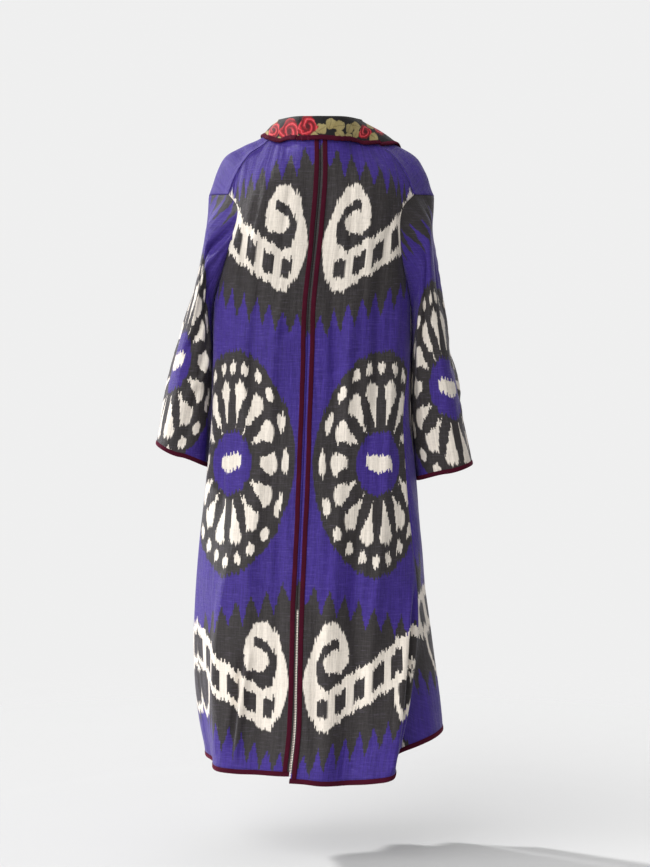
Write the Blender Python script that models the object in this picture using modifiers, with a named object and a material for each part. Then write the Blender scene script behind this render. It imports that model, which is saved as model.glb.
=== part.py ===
"""Long open robe of a central Asian cut, with the hollow, hanging form that it has when it is worn.

Units are metres. +Z is up, the front faces -Y and +X is the wearer's left. The origin is at the foot of
the neck, between the tops of the two shoulders, which carry the robe. Two back panels meet at a seam down
the centre of the back, which opens into a vent near the hem. The front panels run over the shoulders and
end at seams behind them. Wide sleeves are sewn on below the shoulder. A collar in a printed cloth folds
over outward. Velvet covers the edges of the collar, fronts, hem and cuffs, and lies in two tapes along the
seam of the back.
"""

import math
from collections import namedtuple

import bmesh
import bpy
import numpy as np
from mathutils import Vector
from mathutils.bvhtree import BVHTree

# Cloth and trim. An ease is added to a seam's gap where the walls meet at an angle.
WALL = 0.002
SEAM_GAP = 0.0003
SIDE_EASE = 0.0008
HEM_EASE = 0.0009
SHOULDER_EASE = 0.0006
ARMHOLE_EASE = 0.0020
CUFF_EASE = 0.0005
BINDING_WIDTH = 0.009
BINDING_THICKNESS = 0.0036
BINDING_PROUD = (BINDING_THICKNESS - WALL) / 2
CUFF_BINDING_WIDTH = 0.008
COLLAR_BINDING_WIDTH = 0.009
TAPE_WIDTH = 0.0095
TAPE_FROM_SEAM = 0.0042
TAPE_THICKNESS = 0.0012

# Body of the robe. Its side seams are given as angles from the seam of the back.
ARMPIT_Z = -0.36
HEM_Z = -1.325
SIDE_SEAM_SETTLES_Z = -0.62
VENT_TOP_Z = -1.02
VENT_GAP = 0.0016
FRONT_GAP_TOP = 0.003
FRONT_GAP_HEM = 0.008
SECTION_POWER = 2.3
FOLD_GROWTH = 1.3
NECK_SHARE = 0.3
HALF_DEGREE = 0.5
BELOW_ARMPIT = -0.25

# Mesh density
BACK_COLUMNS = 18
FRONT_COLUMNS = 14
LOWER_ROWS = 13
BACK_UPPER_ROWS = 8
FRONT_UPPER_ROWS = 10
SLEEVE_COLUMNS = 18
SLEEVE_ROWS = 12
COLLAR_COLUMNS = 56

LEFT, RIGHT = 1, -1
MIRROR = np.array((-1.0, 1.0, 1.0))
SIDE_SEAM_ANGLE_ARMPIT = {LEFT: 86.0, RIGHT: 92.0}
SIDE_SEAM_ANGLE_HEM = {LEFT: 80.0, RIGHT: 80.0}
SIDE_NAMES = {LEFT: "left", RIGHT: "right"}

# Level sections of the body: half width, where its centre lies, how far behind the origin it is widest, how
# deep it is behind and before that, and how far the seam of the back has swung towards the wearer's left, in
# degrees.
Section = namedtuple("Section", "z half_width centre_x widest_y back front swing")
BODY_SECTIONS = (
    Section(-1.400, 0.243, -0.012, 0.000, 0.180, 0.172, 25.0),
    Section(-1.309, 0.245, -0.007, 0.000, 0.176, 0.170, 21.5),
    Section(-1.250, 0.248, -0.001, 0.000, 0.172, 0.166, 18.0),
    Section(-1.103, 0.248, 0.012, 0.002, 0.161, 0.160, 13.0),
    Section(-0.987, 0.241, 0.017, 0.006, 0.150, 0.156, 11.0),
    Section(-0.903, 0.235, 0.018, 0.010, 0.140, 0.153, 9.8),
    Section(-0.714, 0.217, 0.018, 0.018, 0.121, 0.150, 7.5),
    Section(-0.610, 0.209, 0.018, 0.020, 0.112, 0.149, 6.2),
    Section(-0.500, 0.207, 0.017, 0.020, 0.107, 0.147, 5.0),
    Section(-0.360, 0.205, 0.016, 0.018, 0.108, 0.144, 3.2),
    Section(-0.230, 0.198, 0.009, 0.012, 0.110, 0.132, 1.0),
    Section(-0.140, 0.190, -0.003, 0.000, 0.118, 0.110, 0.0),
    Section(-0.080, 0.180, -0.002, 0.000, 0.110, 0.100, 0.0),
    Section(0.040, 0.170, 0.000, 0.000, 0.080, 0.080, 0.0),
)

# The height of the hem at angles from the seam of the back. The back's right half hangs a little lower than
# its left, and the hem rises at the wearer's right side.
HemPoint = namedtuple("HemPoint", "angle z")
HEM_LEFT = (
    HemPoint(0, -1.3160),
    HemPoint(45, -1.3170),
    HemPoint(75, -1.3100),
    HemPoint(100, -1.3000),
    HemPoint(140, -1.3080),
    HemPoint(180, -1.3150),
)
HEM_RIGHT = (
    HemPoint(-180, -1.3150),
    HemPoint(-145, -1.2950),
    HemPoint(-110, -1.2480),
    HemPoint(-95, -1.2560),
    HemPoint(-80, -1.2800),
    HemPoint(-66, -1.3130),
    HemPoint(-50, -1.3290),
    HemPoint(0, -1.3300),
)

# Hanging folds: where each lies at the hem as an angle from the seam of the back, towards the wearer's left,
# its width, how far it stands out (or in) and is pushed along at the hem, the height where it begins, and its
# lean up to that height.
Fold = namedtuple("Fold", "angle width depth push top lean")
FOLDS = (
    Fold(-57, 11, 0.028, -0.010, -0.72, -37),
    Fold(-75, 10, -0.045, 0.010, -0.72, -32),
    Fold(-106, 12, 0.010, 0.000, -0.60, -6),
    Fold(-38, 9, -0.010, 0.000, -0.55, -8),
    Fold(-20, 9, 0.009, 0.000, -0.50, -2),
    Fold(20, 8, -0.008, 0.000, -0.62, 4),
    Fold(40, 9, 0.012, 0.000, -0.50, 6),
    Fold(61, 9, -0.013, 0.000, -0.62, 4),
    Fold(80, 10, 0.010, 0.000, -0.55, 2),
    Fold(101, 10, -0.020, 0.000, -0.60, 0),
    Fold(122, 10, 0.020, 0.000, -0.50, -3),
    Fold(143, 9, -0.018, 0.000, -0.62, -3),
    Fold(161, 8, 0.012, 0.000, -0.50, 0),
    Fold(-130, 10, -0.018, 0.000, -0.62, 3),
    Fold(-148, 9, 0.016, 0.000, -0.50, 3),
    Fold(-166, 8, -0.010, 0.000, -0.65, 0),
)

# Curves across the upper body, each through five points from the middle edge outward, for the wearer's left.
# The knots are the shares of a panel's width at those points.
Row = namedtuple("Row", "share points")
BACK_KNOTS = (0.0, 0.15, 0.30, 0.65, 1.0)
CHEST_BACK = ((0, 0.126, -0.215), (0.036, 0.126, -0.215), (0.073, 0.123, -0.217), (0.146, 0.106, -0.230))
BLADE_BACK = ((0, 0.107, -0.085), (0.036, 0.106, -0.085), (0.072, 0.101, -0.088), (0.138, 0.092, -0.118))
NECK_BACK = ((0, 0.078, 0.000), (0.044, 0.066, 0.002), (0.080, 0.022, 0.002), (0.150, 0.046, -0.056))
BACK_ROWS = (
    Row(0.40, CHEST_BACK + ((0.178, 0.084, -0.250),)),
    Row(0.76, BLADE_BACK + ((0.171, 0.076, -0.168),)),
    Row(1.00, NECK_BACK + ((0.193, 0.054, -0.138),)),
)
FRONT_KNOTS = (0.0, 0.25, 0.5, 0.75, 1.0)
CHEST_FRONT = (
    (0.048, -0.116, -0.215), (0.086, -0.116, -0.220), (0.121, -0.109, -0.228), (0.153, -0.098, -0.238),
)
YOKE_FRONT = (
    (0.072, -0.076, -0.085), (0.104, -0.084, -0.095), (0.136, -0.087, -0.110), (0.164, -0.083, -0.134),
)
SHOULDER_TOP = (
    (0.082, -0.012, 0.004), (0.120, -0.004, -0.016), (0.160, -0.002, -0.033), (0.206, -0.001, -0.064),
)
SEAM_BEHIND = ((0.080, 0.022, 0.002), (0.120, 0.037, -0.034), (0.150, 0.046, -0.056), (0.176, 0.052, -0.096))
FRONT_ROWS = (
    Row(0.30, CHEST_FRONT + ((0.178, -0.084, -0.250),)),
    Row(0.58, YOKE_FRONT + ((0.186, -0.069, -0.168),)),
    Row(0.84, SHOULDER_TOP + ((0.236, 0.000, -0.138),)),
    Row(1.00, SEAM_BEHIND + ((0.193, 0.054, -0.138),)),
)

# Level sections of each sleeve: its inner side beside the body, its outer side, its middle and half depth.
SleeveSection = namedtuple("SleeveSection", "z inner outer middle_y half_depth")
SLEEVE_SECTIONS = {
    LEFT: (
        SleeveSection(-0.136, 0.190, 0.229, 0.000, 0.074),
        SleeveSection(-0.233, 0.206, 0.243, -0.004, 0.078),
        SleeveSection(-0.342, 0.2235, 0.266, -0.012, 0.077),
        SleeveSection(-0.418, 0.2232, 0.289, -0.026, 0.076),
        SleeveSection(-0.499, 0.2228, 0.311, -0.036, 0.076),
        SleeveSection(-0.579, 0.2248, 0.330, -0.040, 0.077),
        SleeveSection(-0.700, 0.2345, 0.354, -0.042, 0.080),
    ),
    RIGHT: (
        SleeveSection(-0.136, 0.188, 0.232, 0.000, 0.074),
        SleeveSection(-0.241, 0.190, 0.239, -0.004, 0.078),
        SleeveSection(-0.348, 0.1920, 0.251, -0.012, 0.077),
        SleeveSection(-0.413, 0.1910, 0.264, -0.018, 0.076),
        SleeveSection(-0.477, 0.1895, 0.277, -0.022, 0.076),
        SleeveSection(-0.590, 0.189, 0.298, -0.024, 0.077),
        SleeveSection(-0.740, 0.2025, 0.330, -0.026, 0.080),
    ),
}
CUFF_OUTER_Z = {LEFT: -0.653, RIGHT: -0.694}
CUFF_INNER_Z = {LEFT: -0.701, RIGHT: -0.728}
SLEEVE_SETTLES_OVER = 0.075
UNDERARM_CLEAR = {LEFT: 0.0040, RIGHT: 0.0034}
SLEEVE_POWER = 2.7

# Along the edge that the collar is sewn to, on each side: how far a station is from the middle of the back
# to where the lapel breaks, how the fold rises off that edge, where the leaf's edge lies on the wearer's
# left, and how much further out it lies on the right.
CollarStation = namedtuple("CollarStation", "share rise edge right_more")
COLLAR_STATIONS = (
    CollarStation(0.00, (0.000, 0.002, 0.020), (0.000, 0.104, -0.014), 0.000),
    CollarStation(0.10, (0.001, 0.002, 0.019), (0.045, 0.100, -0.014), 0.003),
    CollarStation(0.20, (0.002, 0.001, 0.018), (0.084, 0.080, -0.007), 0.012),
    CollarStation(0.30, (0.002, -0.001, 0.016), (0.105, 0.032, -0.017), 0.040),
    CollarStation(0.40, (0.002, -0.005, 0.013), (0.113, -0.014, -0.024), 0.052),
    CollarStation(0.55, (0.001, -0.010, 0.011), (0.120, -0.076, -0.075), 0.036),
    CollarStation(0.75, (-0.002, -0.010, 0.005), (0.104, -0.112, -0.165), 0.012),
    CollarStation(0.90, (-0.003, -0.009, 0.002), (0.060, -0.128, -0.262), 0.000),
    CollarStation(1.00, (-0.002, -0.009, 0.000), (0.040, -0.130, -0.322), 0.000),
)
NECK_TURN = 0.3
LAPEL_BREAK_V = 1.12
FRONT_BINDING_TOP_V = 1.0
COLLAR_FOLD = 0.003
COLLAR_BULGE = 0.003
COLLAR_ACROSS = (0.0, 0.14, 0.28, 0.32, 0.36, 0.40, 0.44, 0.58, 0.72, 0.86, 1.0)
STAND_TOP, CREST, LEAF_TOP, LEAF_MIDDLE = 0.28, 0.36, 0.44, 0.72
LEAF_CLEAR = 0.0065
BINDING_LEAF_CLEAR = 0.0062

VELVET = ("velvet", (0.100, 0.004, 0.020), 0.85)
IKAT = ("ikat_cotton", (0.065, 0.040, 0.330), 0.80)
PRINT = ("rose_print", (0.250, 0.020, 0.030), 0.80)


def smooth(knots, values, at):
    """A smooth curve through values at the knots, read at each place. The values may be numbers or points."""
    knots = np.asarray(knots, float)
    values = np.asarray(values, float)
    at = np.asarray(at, float)
    steps = np.diff(knots)
    shape = (-1,) + (1,) * (values.ndim - 1)
    secants = np.diff(values, axis=0) / steps.reshape(shape)
    slopes = np.empty_like(values)
    slopes[0], slopes[-1] = secants[0], secants[-1]
    before, after = steps[:-1].reshape(shape), steps[1:].reshape(shape)
    slopes[1:-1] = (after * secants[:-1] + before * secants[1:]) / (before + after)
    i = np.clip(np.searchsorted(knots, at, side="right") - 1, 0, len(knots) - 2)
    h = steps[i]
    u = (at - knots[i]) / h
    if values.ndim > 1:
        h, u = h[..., None], u[..., None]
    inside = (
        (1 + 2 * u) * (1 - u) ** 2 * values[i]
        + u * (1 - u) ** 2 * h * slopes[i]
        + u**2 * (3 - 2 * u) * values[i + 1]
        + u**2 * (u - 1) * h * slopes[i + 1]
    )
    below = values[i] + u * h * slopes[i]
    above = values[i + 1] + (u - 1) * h * slopes[i + 1]
    return np.where(u < 0, below, np.where(u > 1, above, inside))


def ease(x):
    """From 0 to 1 with a level start and end."""
    x = np.clip(x, 0, 1)
    return x * x * (3 - 2 * x)


def section_value(name, z):
    rows = sorted(BODY_SECTIONS)
    return smooth([r.z for r in rows], [getattr(r, name) for r in rows], z)


def folds_at(angle, z, measure):
    """How far the folds carry the cloth out (depth) or along (push) at an angle from the seam of the back."""
    total = np.zeros(np.broadcast(angle, z).shape)
    for fold in FOLDS:
        growth = np.clip((fold.top - z) / (fold.top - HEM_Z), 0, 1.1)
        centre = fold.angle + fold.lean * (1 - growth)
        away = (angle - centre + 180) % 360 - 180
        total += getattr(fold, measure) * growth**FOLD_GROWTH * np.exp(-((away / fold.width) ** 2))
    return total


def ring(angle, z):
    """A point of the body's outer face, at an angle from the seam of the back and a height."""
    turned = np.radians(angle + section_value("swing", z))
    sine, cosine = np.sin(turned), np.cos(turned)
    half_width = section_value("half_width", z)
    depth = np.where(cosine > 0, section_value("back", z), section_value("front", z))
    n = SECTION_POWER
    reach = ((np.abs(sine) / half_width) ** n + (np.abs(cosine) / depth) ** n) ** (-1 / n)
    reach = reach + folds_at(angle, z, "depth")
    along = folds_at(angle, z, "push")
    x = section_value("centre_x", z) + reach * sine + along * cosine
    y = section_value("widest_y", z) + reach * cosine - along * sine
    return np.stack([x, y, z + 0 * x], axis=-1)


def hem_height(angle):
    left = smooth([p.angle for p in HEM_LEFT], [p.z for p in HEM_LEFT], angle)
    right = smooth([p.angle for p in HEM_RIGHT], [p.z for p in HEM_RIGHT], angle)
    return np.where(angle < 0, right, left)


def sided(points, side):
    """Points given for the wearer's left, on either side, shifted with the body's centre line."""
    points = np.asarray(points, float)
    x = side * points[..., 0] + section_value("centre_x", points[..., 2])
    return np.stack([x, points[..., 1], points[..., 2]], axis=-1)


def shoulder_seam(side, share):
    """The seam behind the shoulder, from the neck to the armhole."""
    return smooth(FRONT_KNOTS, sided(FRONT_ROWS[-1].points, side), share)


def back_top(side, s):
    """The back panel's top edge: the neck, then the seam behind the shoulder."""
    points = np.array(BACK_ROWS[-1].points[:3])
    points = np.concatenate([points[1:2] * MIRROR, points])
    neck = smooth((-BACK_KNOTS[1],) + BACK_KNOTS[:3], sided(points, side), np.minimum(s, NECK_SHARE))
    seam = shoulder_seam(side, np.clip((s - NECK_SHARE) / (1 - NECK_SHARE), 0, 1))
    return np.where((s < NECK_SHARE)[..., None], neck, seam)


def level_height(angle, v):
    """The height of row v of the lower body: 0 at the hem and 1 at the armpit."""
    low = hem_height(angle)
    return low + (ARMPIT_Z - low) * v


def upper_body(side, s, v, knots, rows, angle_of, top, mirrored=False):
    """Above the armpit: a smooth surface from the body's level sections up through the rows."""
    t = v - 1
    below = BELOW_ARMPIT
    low_z = ARMPIT_Z + below * (ARMPIT_Z - HEM_Z) / LOWER_ROWS
    shares = [below, 0.0] + [row.share for row in rows]
    curves = [ring(angle_of(s, z + 0 * s), z + 0 * s) for z in (low_z, ARMPIT_Z)]
    for row in rows[:-1]:
        points = np.array(row.points)
        at = np.array(knots)
        if mirrored:
            points = np.concatenate([points[1:2] * MIRROR, points])
            at = np.concatenate([-at[1:2], at])
        curves.append(smooth(at, sided(points, side), s))
    curves = np.stack(curves + [top(s)])
    flat = curves.reshape(len(shares), -1, 3)
    columns = [smooth(shares, flat[:, k], t.reshape(-1)[k]) for k in range(flat.shape[1])]
    return np.array(columns).reshape(t.shape + (3,))


def side_seam(side, z):
    """The angle of the side seam from the seam of the back."""
    share = ease((ARMPIT_Z - z) / (ARMPIT_Z - SIDE_SEAM_SETTLES_Z))
    high, low = SIDE_SEAM_ANGLE_ARMPIT[side], SIDE_SEAM_ANGLE_HEM[side]
    return side * (high + (low - high) * share)


def back(side, s, v):
    """The back panel's outer face: s from the middle outward, v 0 at the hem, 1 at the armpit, 2 on top."""
    s, v = np.broadcast_arrays(np.asarray(s, float), np.asarray(v, float))
    low_v = np.minimum(v, 1)
    rough = level_height(side * np.maximum(SIDE_SEAM_ANGLE_HEM[side] * s, HALF_DEGREE), low_v)
    angle = side_seam(side, rough) * s
    z = level_height(side * np.maximum(np.abs(angle), HALF_DEGREE), low_v)
    vent = VENT_GAP / 2 * ease((VENT_TOP_Z - z) / (VENT_TOP_Z - HEM_Z))
    low = ring(angle + side * np.degrees(vent / section_value("back", z)) * (1 - s), z)
    high = upper_body(
        side, s, np.maximum(v, 1), BACK_KNOTS, BACK_ROWS,
        lambda share, z: side_seam(side, z) * share, lambda share: back_top(side, share), mirrored=True,
    )
    return np.where((v <= 1)[..., None], low, high)


def front_angle(side, s, z):
    """The angle of a place on the front panel: s is 0 at the front edge and 1 at the side seam."""
    share = (ARMPIT_Z - z) / (ARMPIT_Z - HEM_Z)
    gap = FRONT_GAP_TOP + (FRONT_GAP_HEM - FRONT_GAP_TOP) * share + BINDING_WIDTH
    edge = 180 - np.degrees(gap / section_value("front", z))
    return side * edge + (side_seam(side, z) - side * edge) * s


def front(side, s, v):
    """The front panel's outer face: s from the front edge, v 0 at the hem, 1 at the armpit, 2 at the seam."""
    s, v = np.broadcast_arrays(np.asarray(s, float), np.asarray(v, float))
    rough = level_height(front_angle(side, s, HEM_Z + 0 * s), np.minimum(v, 1))
    angle = front_angle(side, s, rough)
    low = ring(angle, level_height(angle, np.minimum(v, 1)))
    high = upper_body(
        side, s, np.maximum(v, 1), FRONT_KNOTS, FRONT_ROWS,
        lambda share, z: front_angle(side, share, z), lambda share: shoulder_seam(side, share),
    )
    return np.where((v <= 1)[..., None], low, high)


def armhole(side):
    """The armhole's points, from the underarm up the back and down the front, and each one's turn."""
    up_back = back(side, np.ones(BACK_UPPER_ROWS + 1), np.linspace(1, 2, BACK_UPPER_ROWS + 1))
    down_front = front(side, np.ones(FRONT_UPPER_ROWS + 1), np.linspace(2, 1, FRONT_UPPER_ROWS + 1))
    loop = np.concatenate([up_back, down_front[1:]])
    lengths = np.linalg.norm(np.diff(loop, axis=0), axis=1)
    return loop, np.concatenate([[0], np.cumsum(lengths)]) / lengths.sum()


def sleeve_section(side, turn, z):
    """A point of a sleeve's level section: turn 0 is beside the body, 0.25 behind and 0.5 outside."""
    rows = sorted(SLEEVE_SECTIONS[side])
    inner, outer, middle, half = (
        smooth([r.z for r in rows], [getattr(r, name) for r in rows], z)
        for name in ("inner", "outer", "middle_y", "half_depth")
    )
    cosine, sine = (
        np.sign(part) * np.abs(part) ** (2 / SLEEVE_POWER)
        for part in (np.cos(2 * math.pi * turn), np.sin(2 * math.pi * turn))
    )
    x = (inner + outer) / 2 - (outer - inner) / 2 * cosine
    return np.stack([side * x, middle + half * sine, z + 0 * x], axis=-1)


def sleeve(side, turn, t):
    """A sleeve's outer face: t is 0 at the armhole and 1 at the cuff."""
    turn, t = np.broadcast_arrays(np.asarray(turn, float), np.asarray(t, float))
    loop, turns = armhole(side)
    beside_body = (1 + np.cos(2 * math.pi * turn)) / 2
    start = smooth(turns, loop, turn)
    start[..., 0] += side * UNDERARM_CLEAR[side] * beside_body
    end_z = CUFF_OUTER_Z[side] + (CUFF_INNER_Z[side] - CUFF_OUTER_Z[side]) * beside_body
    z = start[..., 2] + (end_z - start[..., 2]) * t
    settled = sleeve_section(side, turn, z)
    held = start - sleeve_section(side, turn, start[..., 2])
    return settled + held * (1 - ease((start[..., 2] - z) / SLEEVE_SETTLES_OVER))[..., None]


def neck_edge(side, share):
    """The edge that the collar is sewn to: round the back of the neck, then down to the lapel's break."""
    behind = back_top(side, np.minimum(share, NECK_TURN) * NECK_SHARE / NECK_TURN)
    down = np.clip((share - NECK_TURN) / (1 - NECK_TURN), 0, 1.1)
    before = front(side, 0 * share, 2 - (2 - LAPEL_BREAK_V) * down)
    return np.where((share < NECK_TURN)[..., None], behind, before)


def body_tree():
    """The outer faces of the four panels, to rest the collar on."""
    points, faces = [], []
    s = np.linspace(0, 1, 25)
    v = np.linspace(0.8, 2, 41)
    grid_s, grid_v = np.meshgrid(s, v, indexing="ij")
    for surface in (back, front):
        for side in (LEFT, RIGHT):
            start = len(points)
            points.extend(Vector(p) for p in surface(side, grid_s, grid_v).reshape(-1, 3))
            turn = 1 if (surface is front) == (side == LEFT) else -1
            for i in range(len(s) - 1):
                for j in range(len(v) - 1):
                    a = start + i * len(v) + j
                    faces.append([a, a + len(v), a + len(v) + 1, a + 1][::turn])
    return BVHTree.FromPolygons(points, faces)


def lifted(tree, points, clear, snap):
    """Points moved out until they clear the panels. Where snap is 1, a point is also drawn in that far."""
    flat = points.reshape(-1, 3)
    moved = []
    for point, hold in zip(flat, np.broadcast_to(snap, points.shape[:-1]).reshape(-1)):
        place, normal, _, _ = tree.find_nearest(Vector(point))
        height = (Vector(point) - place).dot(normal)
        rested = place + normal * clear
        share = 1.0 if height < clear else hold
        moved.append(Vector(point).lerp(rested, share))
    return np.array(moved).reshape(points.shape)


def collar(tree, around, across):
    """The collar's printed face: around from -1 at the right break to 1 at the left, across to its edge."""
    around, across = np.broadcast_arrays(np.asarray(around, float), np.asarray(across, float))
    side = np.where(around < 0, RIGHT, LEFT)
    share = np.abs(around)
    knots = [-COLLAR_STATIONS[1].share] + [station.share for station in COLLAR_STATIONS]

    def along(name):
        values = [np.array(getattr(station, name), float) for station in COLLAR_STATIONS]
        return smooth(knots, [values[1] * MIRROR] + values, share)

    rise = along("rise")
    edge = along("edge")
    more = smooth(knots[1:], [station.right_more for station in COLLAR_STATIONS], share)
    edge[..., 0] += np.where(side == RIGHT, more, 0)
    rise[..., 0] *= side
    edge[..., 0] *= side
    neck = np.where((side > 0)[..., None], neck_edge(LEFT, share), neck_edge(RIGHT, share))
    edge = lifted(tree, edge, LEAF_CLEAR, 1.0)
    up = rise / np.linalg.norm(rise, axis=-1, keepdims=True)
    away = edge - neck
    away = away - up * (away * up).sum(axis=-1, keepdims=True)
    away = away / np.linalg.norm(away, axis=-1, keepdims=True)
    start = neck + up * SEAM_GAP
    inner = neck + rise
    crest = inner + away * COLLAR_FOLD + up * COLLAR_FOLD
    outer = inner + away * 2 * COLLAR_FOLD
    middle = (outer + edge) / 2 + up * COLLAR_BULGE
    places = (0.0, STAND_TOP, CREST, LEAF_TOP, LEAF_MIDDLE, 1.0)
    curves = np.stack([start, inner, crest, outer, middle, edge]).reshape(len(places), -1, 3)
    flat = across.reshape(-1)
    points = np.array([smooth(places, curves[:, k], flat[k]) for k in range(len(flat))])
    points = points.reshape(across.shape + (3,))
    return np.where((across > LEAF_TOP)[..., None], lifted(tree, points, LEAF_CLEAR, 0.0), points)


def outward(surface, s, t, flip):
    """Unit normals of a surface, from small steps along it."""
    step = 1e-3
    across = surface(s + step, t) - surface(s - step, t)
    along = surface(s, t + step) - surface(s, t - step)
    normal = np.cross(across, along) * flip
    return normal / np.linalg.norm(normal, axis=-1, keepdims=True)


def pulled_in(points, gaps):
    """Grid points with the outer rows and columns moved in by gaps: first s, last s, first t and last t."""
    points = points.copy()
    for gap, edge, inner in ((gaps[0], 0, 1), (gaps[1], -1, -2)):
        step = points[inner] - points[edge]
        points[edge] += step / np.linalg.norm(step, axis=-1, keepdims=True) * gap
    for gap, edge, inner in ((gaps[2], 0, 1), (gaps[3], -1, -2)):
        step = points[:, inner] - points[:, edge]
        points[:, edge] += step / np.linalg.norm(step, axis=-1, keepdims=True) * gap
    return points


def material(name, colour, roughness):
    found = bpy.data.materials.get(name)
    if found:
        return found
    made = bpy.data.materials.new(name)
    made.use_nodes = True
    shader = made.node_tree.nodes["Principled BSDF"]
    shader.inputs["Base Color"].default_value = (*colour, 1)
    shader.inputs["Roughness"].default_value = roughness
    shader.inputs["Metallic"].default_value = 0
    return made


def wall(name, points, finish, collection, flip=1, thickness=WALL, tube=False):
    """A wall whose outer face runs through a grid of points, as its own object."""
    bm = bmesh.new()
    columns, rows = points.shape[0] - 1, points.shape[1] - 1
    bmesh.ops.create_grid(bm, x_segments=columns, y_segments=rows, size=0.5)
    for vert in bm.verts:
        i = round((vert.co.x + 0.5) * columns)
        j = round((vert.co.y + 0.5) * rows)
        vert.co = Vector(points[i, j])
    if tube:
        bmesh.ops.remove_doubles(bm, verts=bm.verts, dist=1e-6)
    if flip < 0:
        bmesh.ops.reverse_faces(bm, faces=bm.faces)
    mesh = bpy.data.meshes.new(name)
    bm.to_mesh(mesh)
    bm.free()
    mesh.shade_smooth()
    mesh.materials.append(material(*finish))
    made = bpy.data.objects.new(name, mesh)
    shell = made.modifiers.new("Wall", "SOLIDIFY")
    shell.thickness = thickness
    shell.offset = -1
    shell.use_even_offset = True
    collection.objects.link(made)
    return made


def panel_rows(upper):
    """The rows of a panel, as v from the hem to its top."""
    return np.concatenate([np.linspace(0, 1, LOWER_ROWS + 1), np.linspace(1, 2, upper + 1)[1:]])


def width_near_edge(panel, side, v):
    """How many metres one unit of s is worth, next to a panel's first edge."""
    step = 0.02
    return np.linalg.norm(panel(side, step + 0 * v, v) - panel(side, 0 * v, v), axis=-1) / step


def back_columns(side, v):
    """On each row v of a back panel, the s of the seam, of the tape's edges and of even steps outward."""
    width = width_near_edge(back, side, v)
    near = np.stack([0 * v, TAPE_FROM_SEAM / width, (TAPE_FROM_SEAM + TAPE_WIDTH) / width])
    rest = near[-1] + (1 - near[-1]) * np.linspace(0, 1, BACK_COLUMNS - 1)[1:, None]
    return np.concatenate([near, rest])


def proud_of(surface, s, v, flip, proud):
    return surface(s, v) + outward(surface, s, v, flip) * proud


def make_back(side, collection):
    """A back panel and the velvet tape on it."""
    name = SIDE_NAMES[side]
    half = SEAM_GAP / 2
    rows = panel_rows(BACK_UPPER_ROWS)
    s = back_columns(side, rows)
    v = np.broadcast_to(rows, s.shape)
    points = pulled_in(back(side, s, v), (half, half + SIDE_EASE, half, half + SHOULDER_EASE))
    wall(f"back_{name}", points, IKAT, collection, -side)
    tape = slice(1, 3)
    lift = SEAM_GAP + TAPE_THICKNESS
    points = proud_of(lambda a, b: back(side, a, b), s[tape], v[tape], -side, lift)
    points = pulled_in(points, (0, 0, half, SHOULDER_EASE + WALL))
    wall(f"back_tape_{name}", points, VELVET, collection, -side, TAPE_THICKNESS)


def make_front(side, collection):
    """A front panel and the binding of its edge below the lapel."""
    name = SIDE_NAMES[side]
    half = SEAM_GAP / 2
    rows = panel_rows(FRONT_UPPER_ROWS)
    s, v = np.meshgrid(np.linspace(0, 1, FRONT_COLUMNS + 1), rows, indexing="ij")
    points = pulled_in(front(side, s, v), (half, half + SIDE_EASE, half, half + SHOULDER_EASE))
    wall(f"front_{name}", points, IKAT, collection, side)
    bound = rows[rows <= FRONT_BINDING_TOP_V]
    out = -BINDING_WIDTH / width_near_edge(front, side, bound)
    s = np.stack([out, 0 * out])
    v = np.stack([bound, bound])
    points = proud_of(lambda a, b: front(side, a, b), s, v, side, BINDING_PROUD)
    points = pulled_in(points, (0, SEAM_GAP, SEAM_GAP, 0))
    wall(f"front_binding_{name}", points, VELVET, collection, side, BINDING_THICKNESS)


def make_hem_binding(side, collection):
    """The velvet that covers the hem, from the vent round the side to the front edge."""
    down = -BINDING_WIDTH / (ARMPIT_Z - HEM_Z)
    back_s = back_columns(side, np.zeros(1))[:, 0]
    last = -BINDING_WIDTH / width_near_edge(front, side, np.zeros(1))[0]
    front_s = np.append(np.linspace(1, 0, FRONT_COLUMNS + 1)[1:], last)
    halves = []
    for surface, s in ((back, back_s), (front, front_s)):
        s, v = np.meshgrid(s, (down, 0), indexing="ij")
        flip = -side if surface is back else side
        halves.append(proud_of(lambda a, b: surface(side, a, b), s, v, flip, BINDING_PROUD))
    points = pulled_in(np.concatenate(halves), (SEAM_GAP / 2, 0, 0, SEAM_GAP + HEM_EASE))
    wall(f"hem_binding_{SIDE_NAMES[side]}", points, VELVET, collection, -side, BINDING_THICKNESS)


def make_sleeve(side, collection):
    name = SIDE_NAMES[side]
    turns = np.linspace(0, 1, SLEEVE_COLUMNS + 1)
    turns[-1] = 0
    turn, t = np.meshgrid(turns, np.linspace(0, 1, SLEEVE_ROWS + 1), indexing="ij")
    points = sleeve(side, turn, t)
    points = pulled_in(points, (0, 0, SEAM_GAP + ARMHOLE_EASE, SEAM_GAP))
    wall(f"sleeve_{name}", points, IKAT, collection, side, tube=True)
    step = 0.1
    lengths = np.linalg.norm(sleeve(side, turns, 1) - sleeve(side, turns, 1 - step), axis=-1) / step
    t = np.stack([1 + 0 * turns, 1 + CUFF_BINDING_WIDTH / lengths], axis=-1)
    turn = np.stack([turns, turns], axis=-1)
    points = proud_of(lambda a, b: sleeve(side, a, b), turn, t, side, BINDING_PROUD)
    points = pulled_in(points, (0, 0, CUFF_EASE, 0))
    wall(f"cuff_binding_{name}", points, VELVET, collection, side, BINDING_THICKNESS, tube=True)


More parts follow.
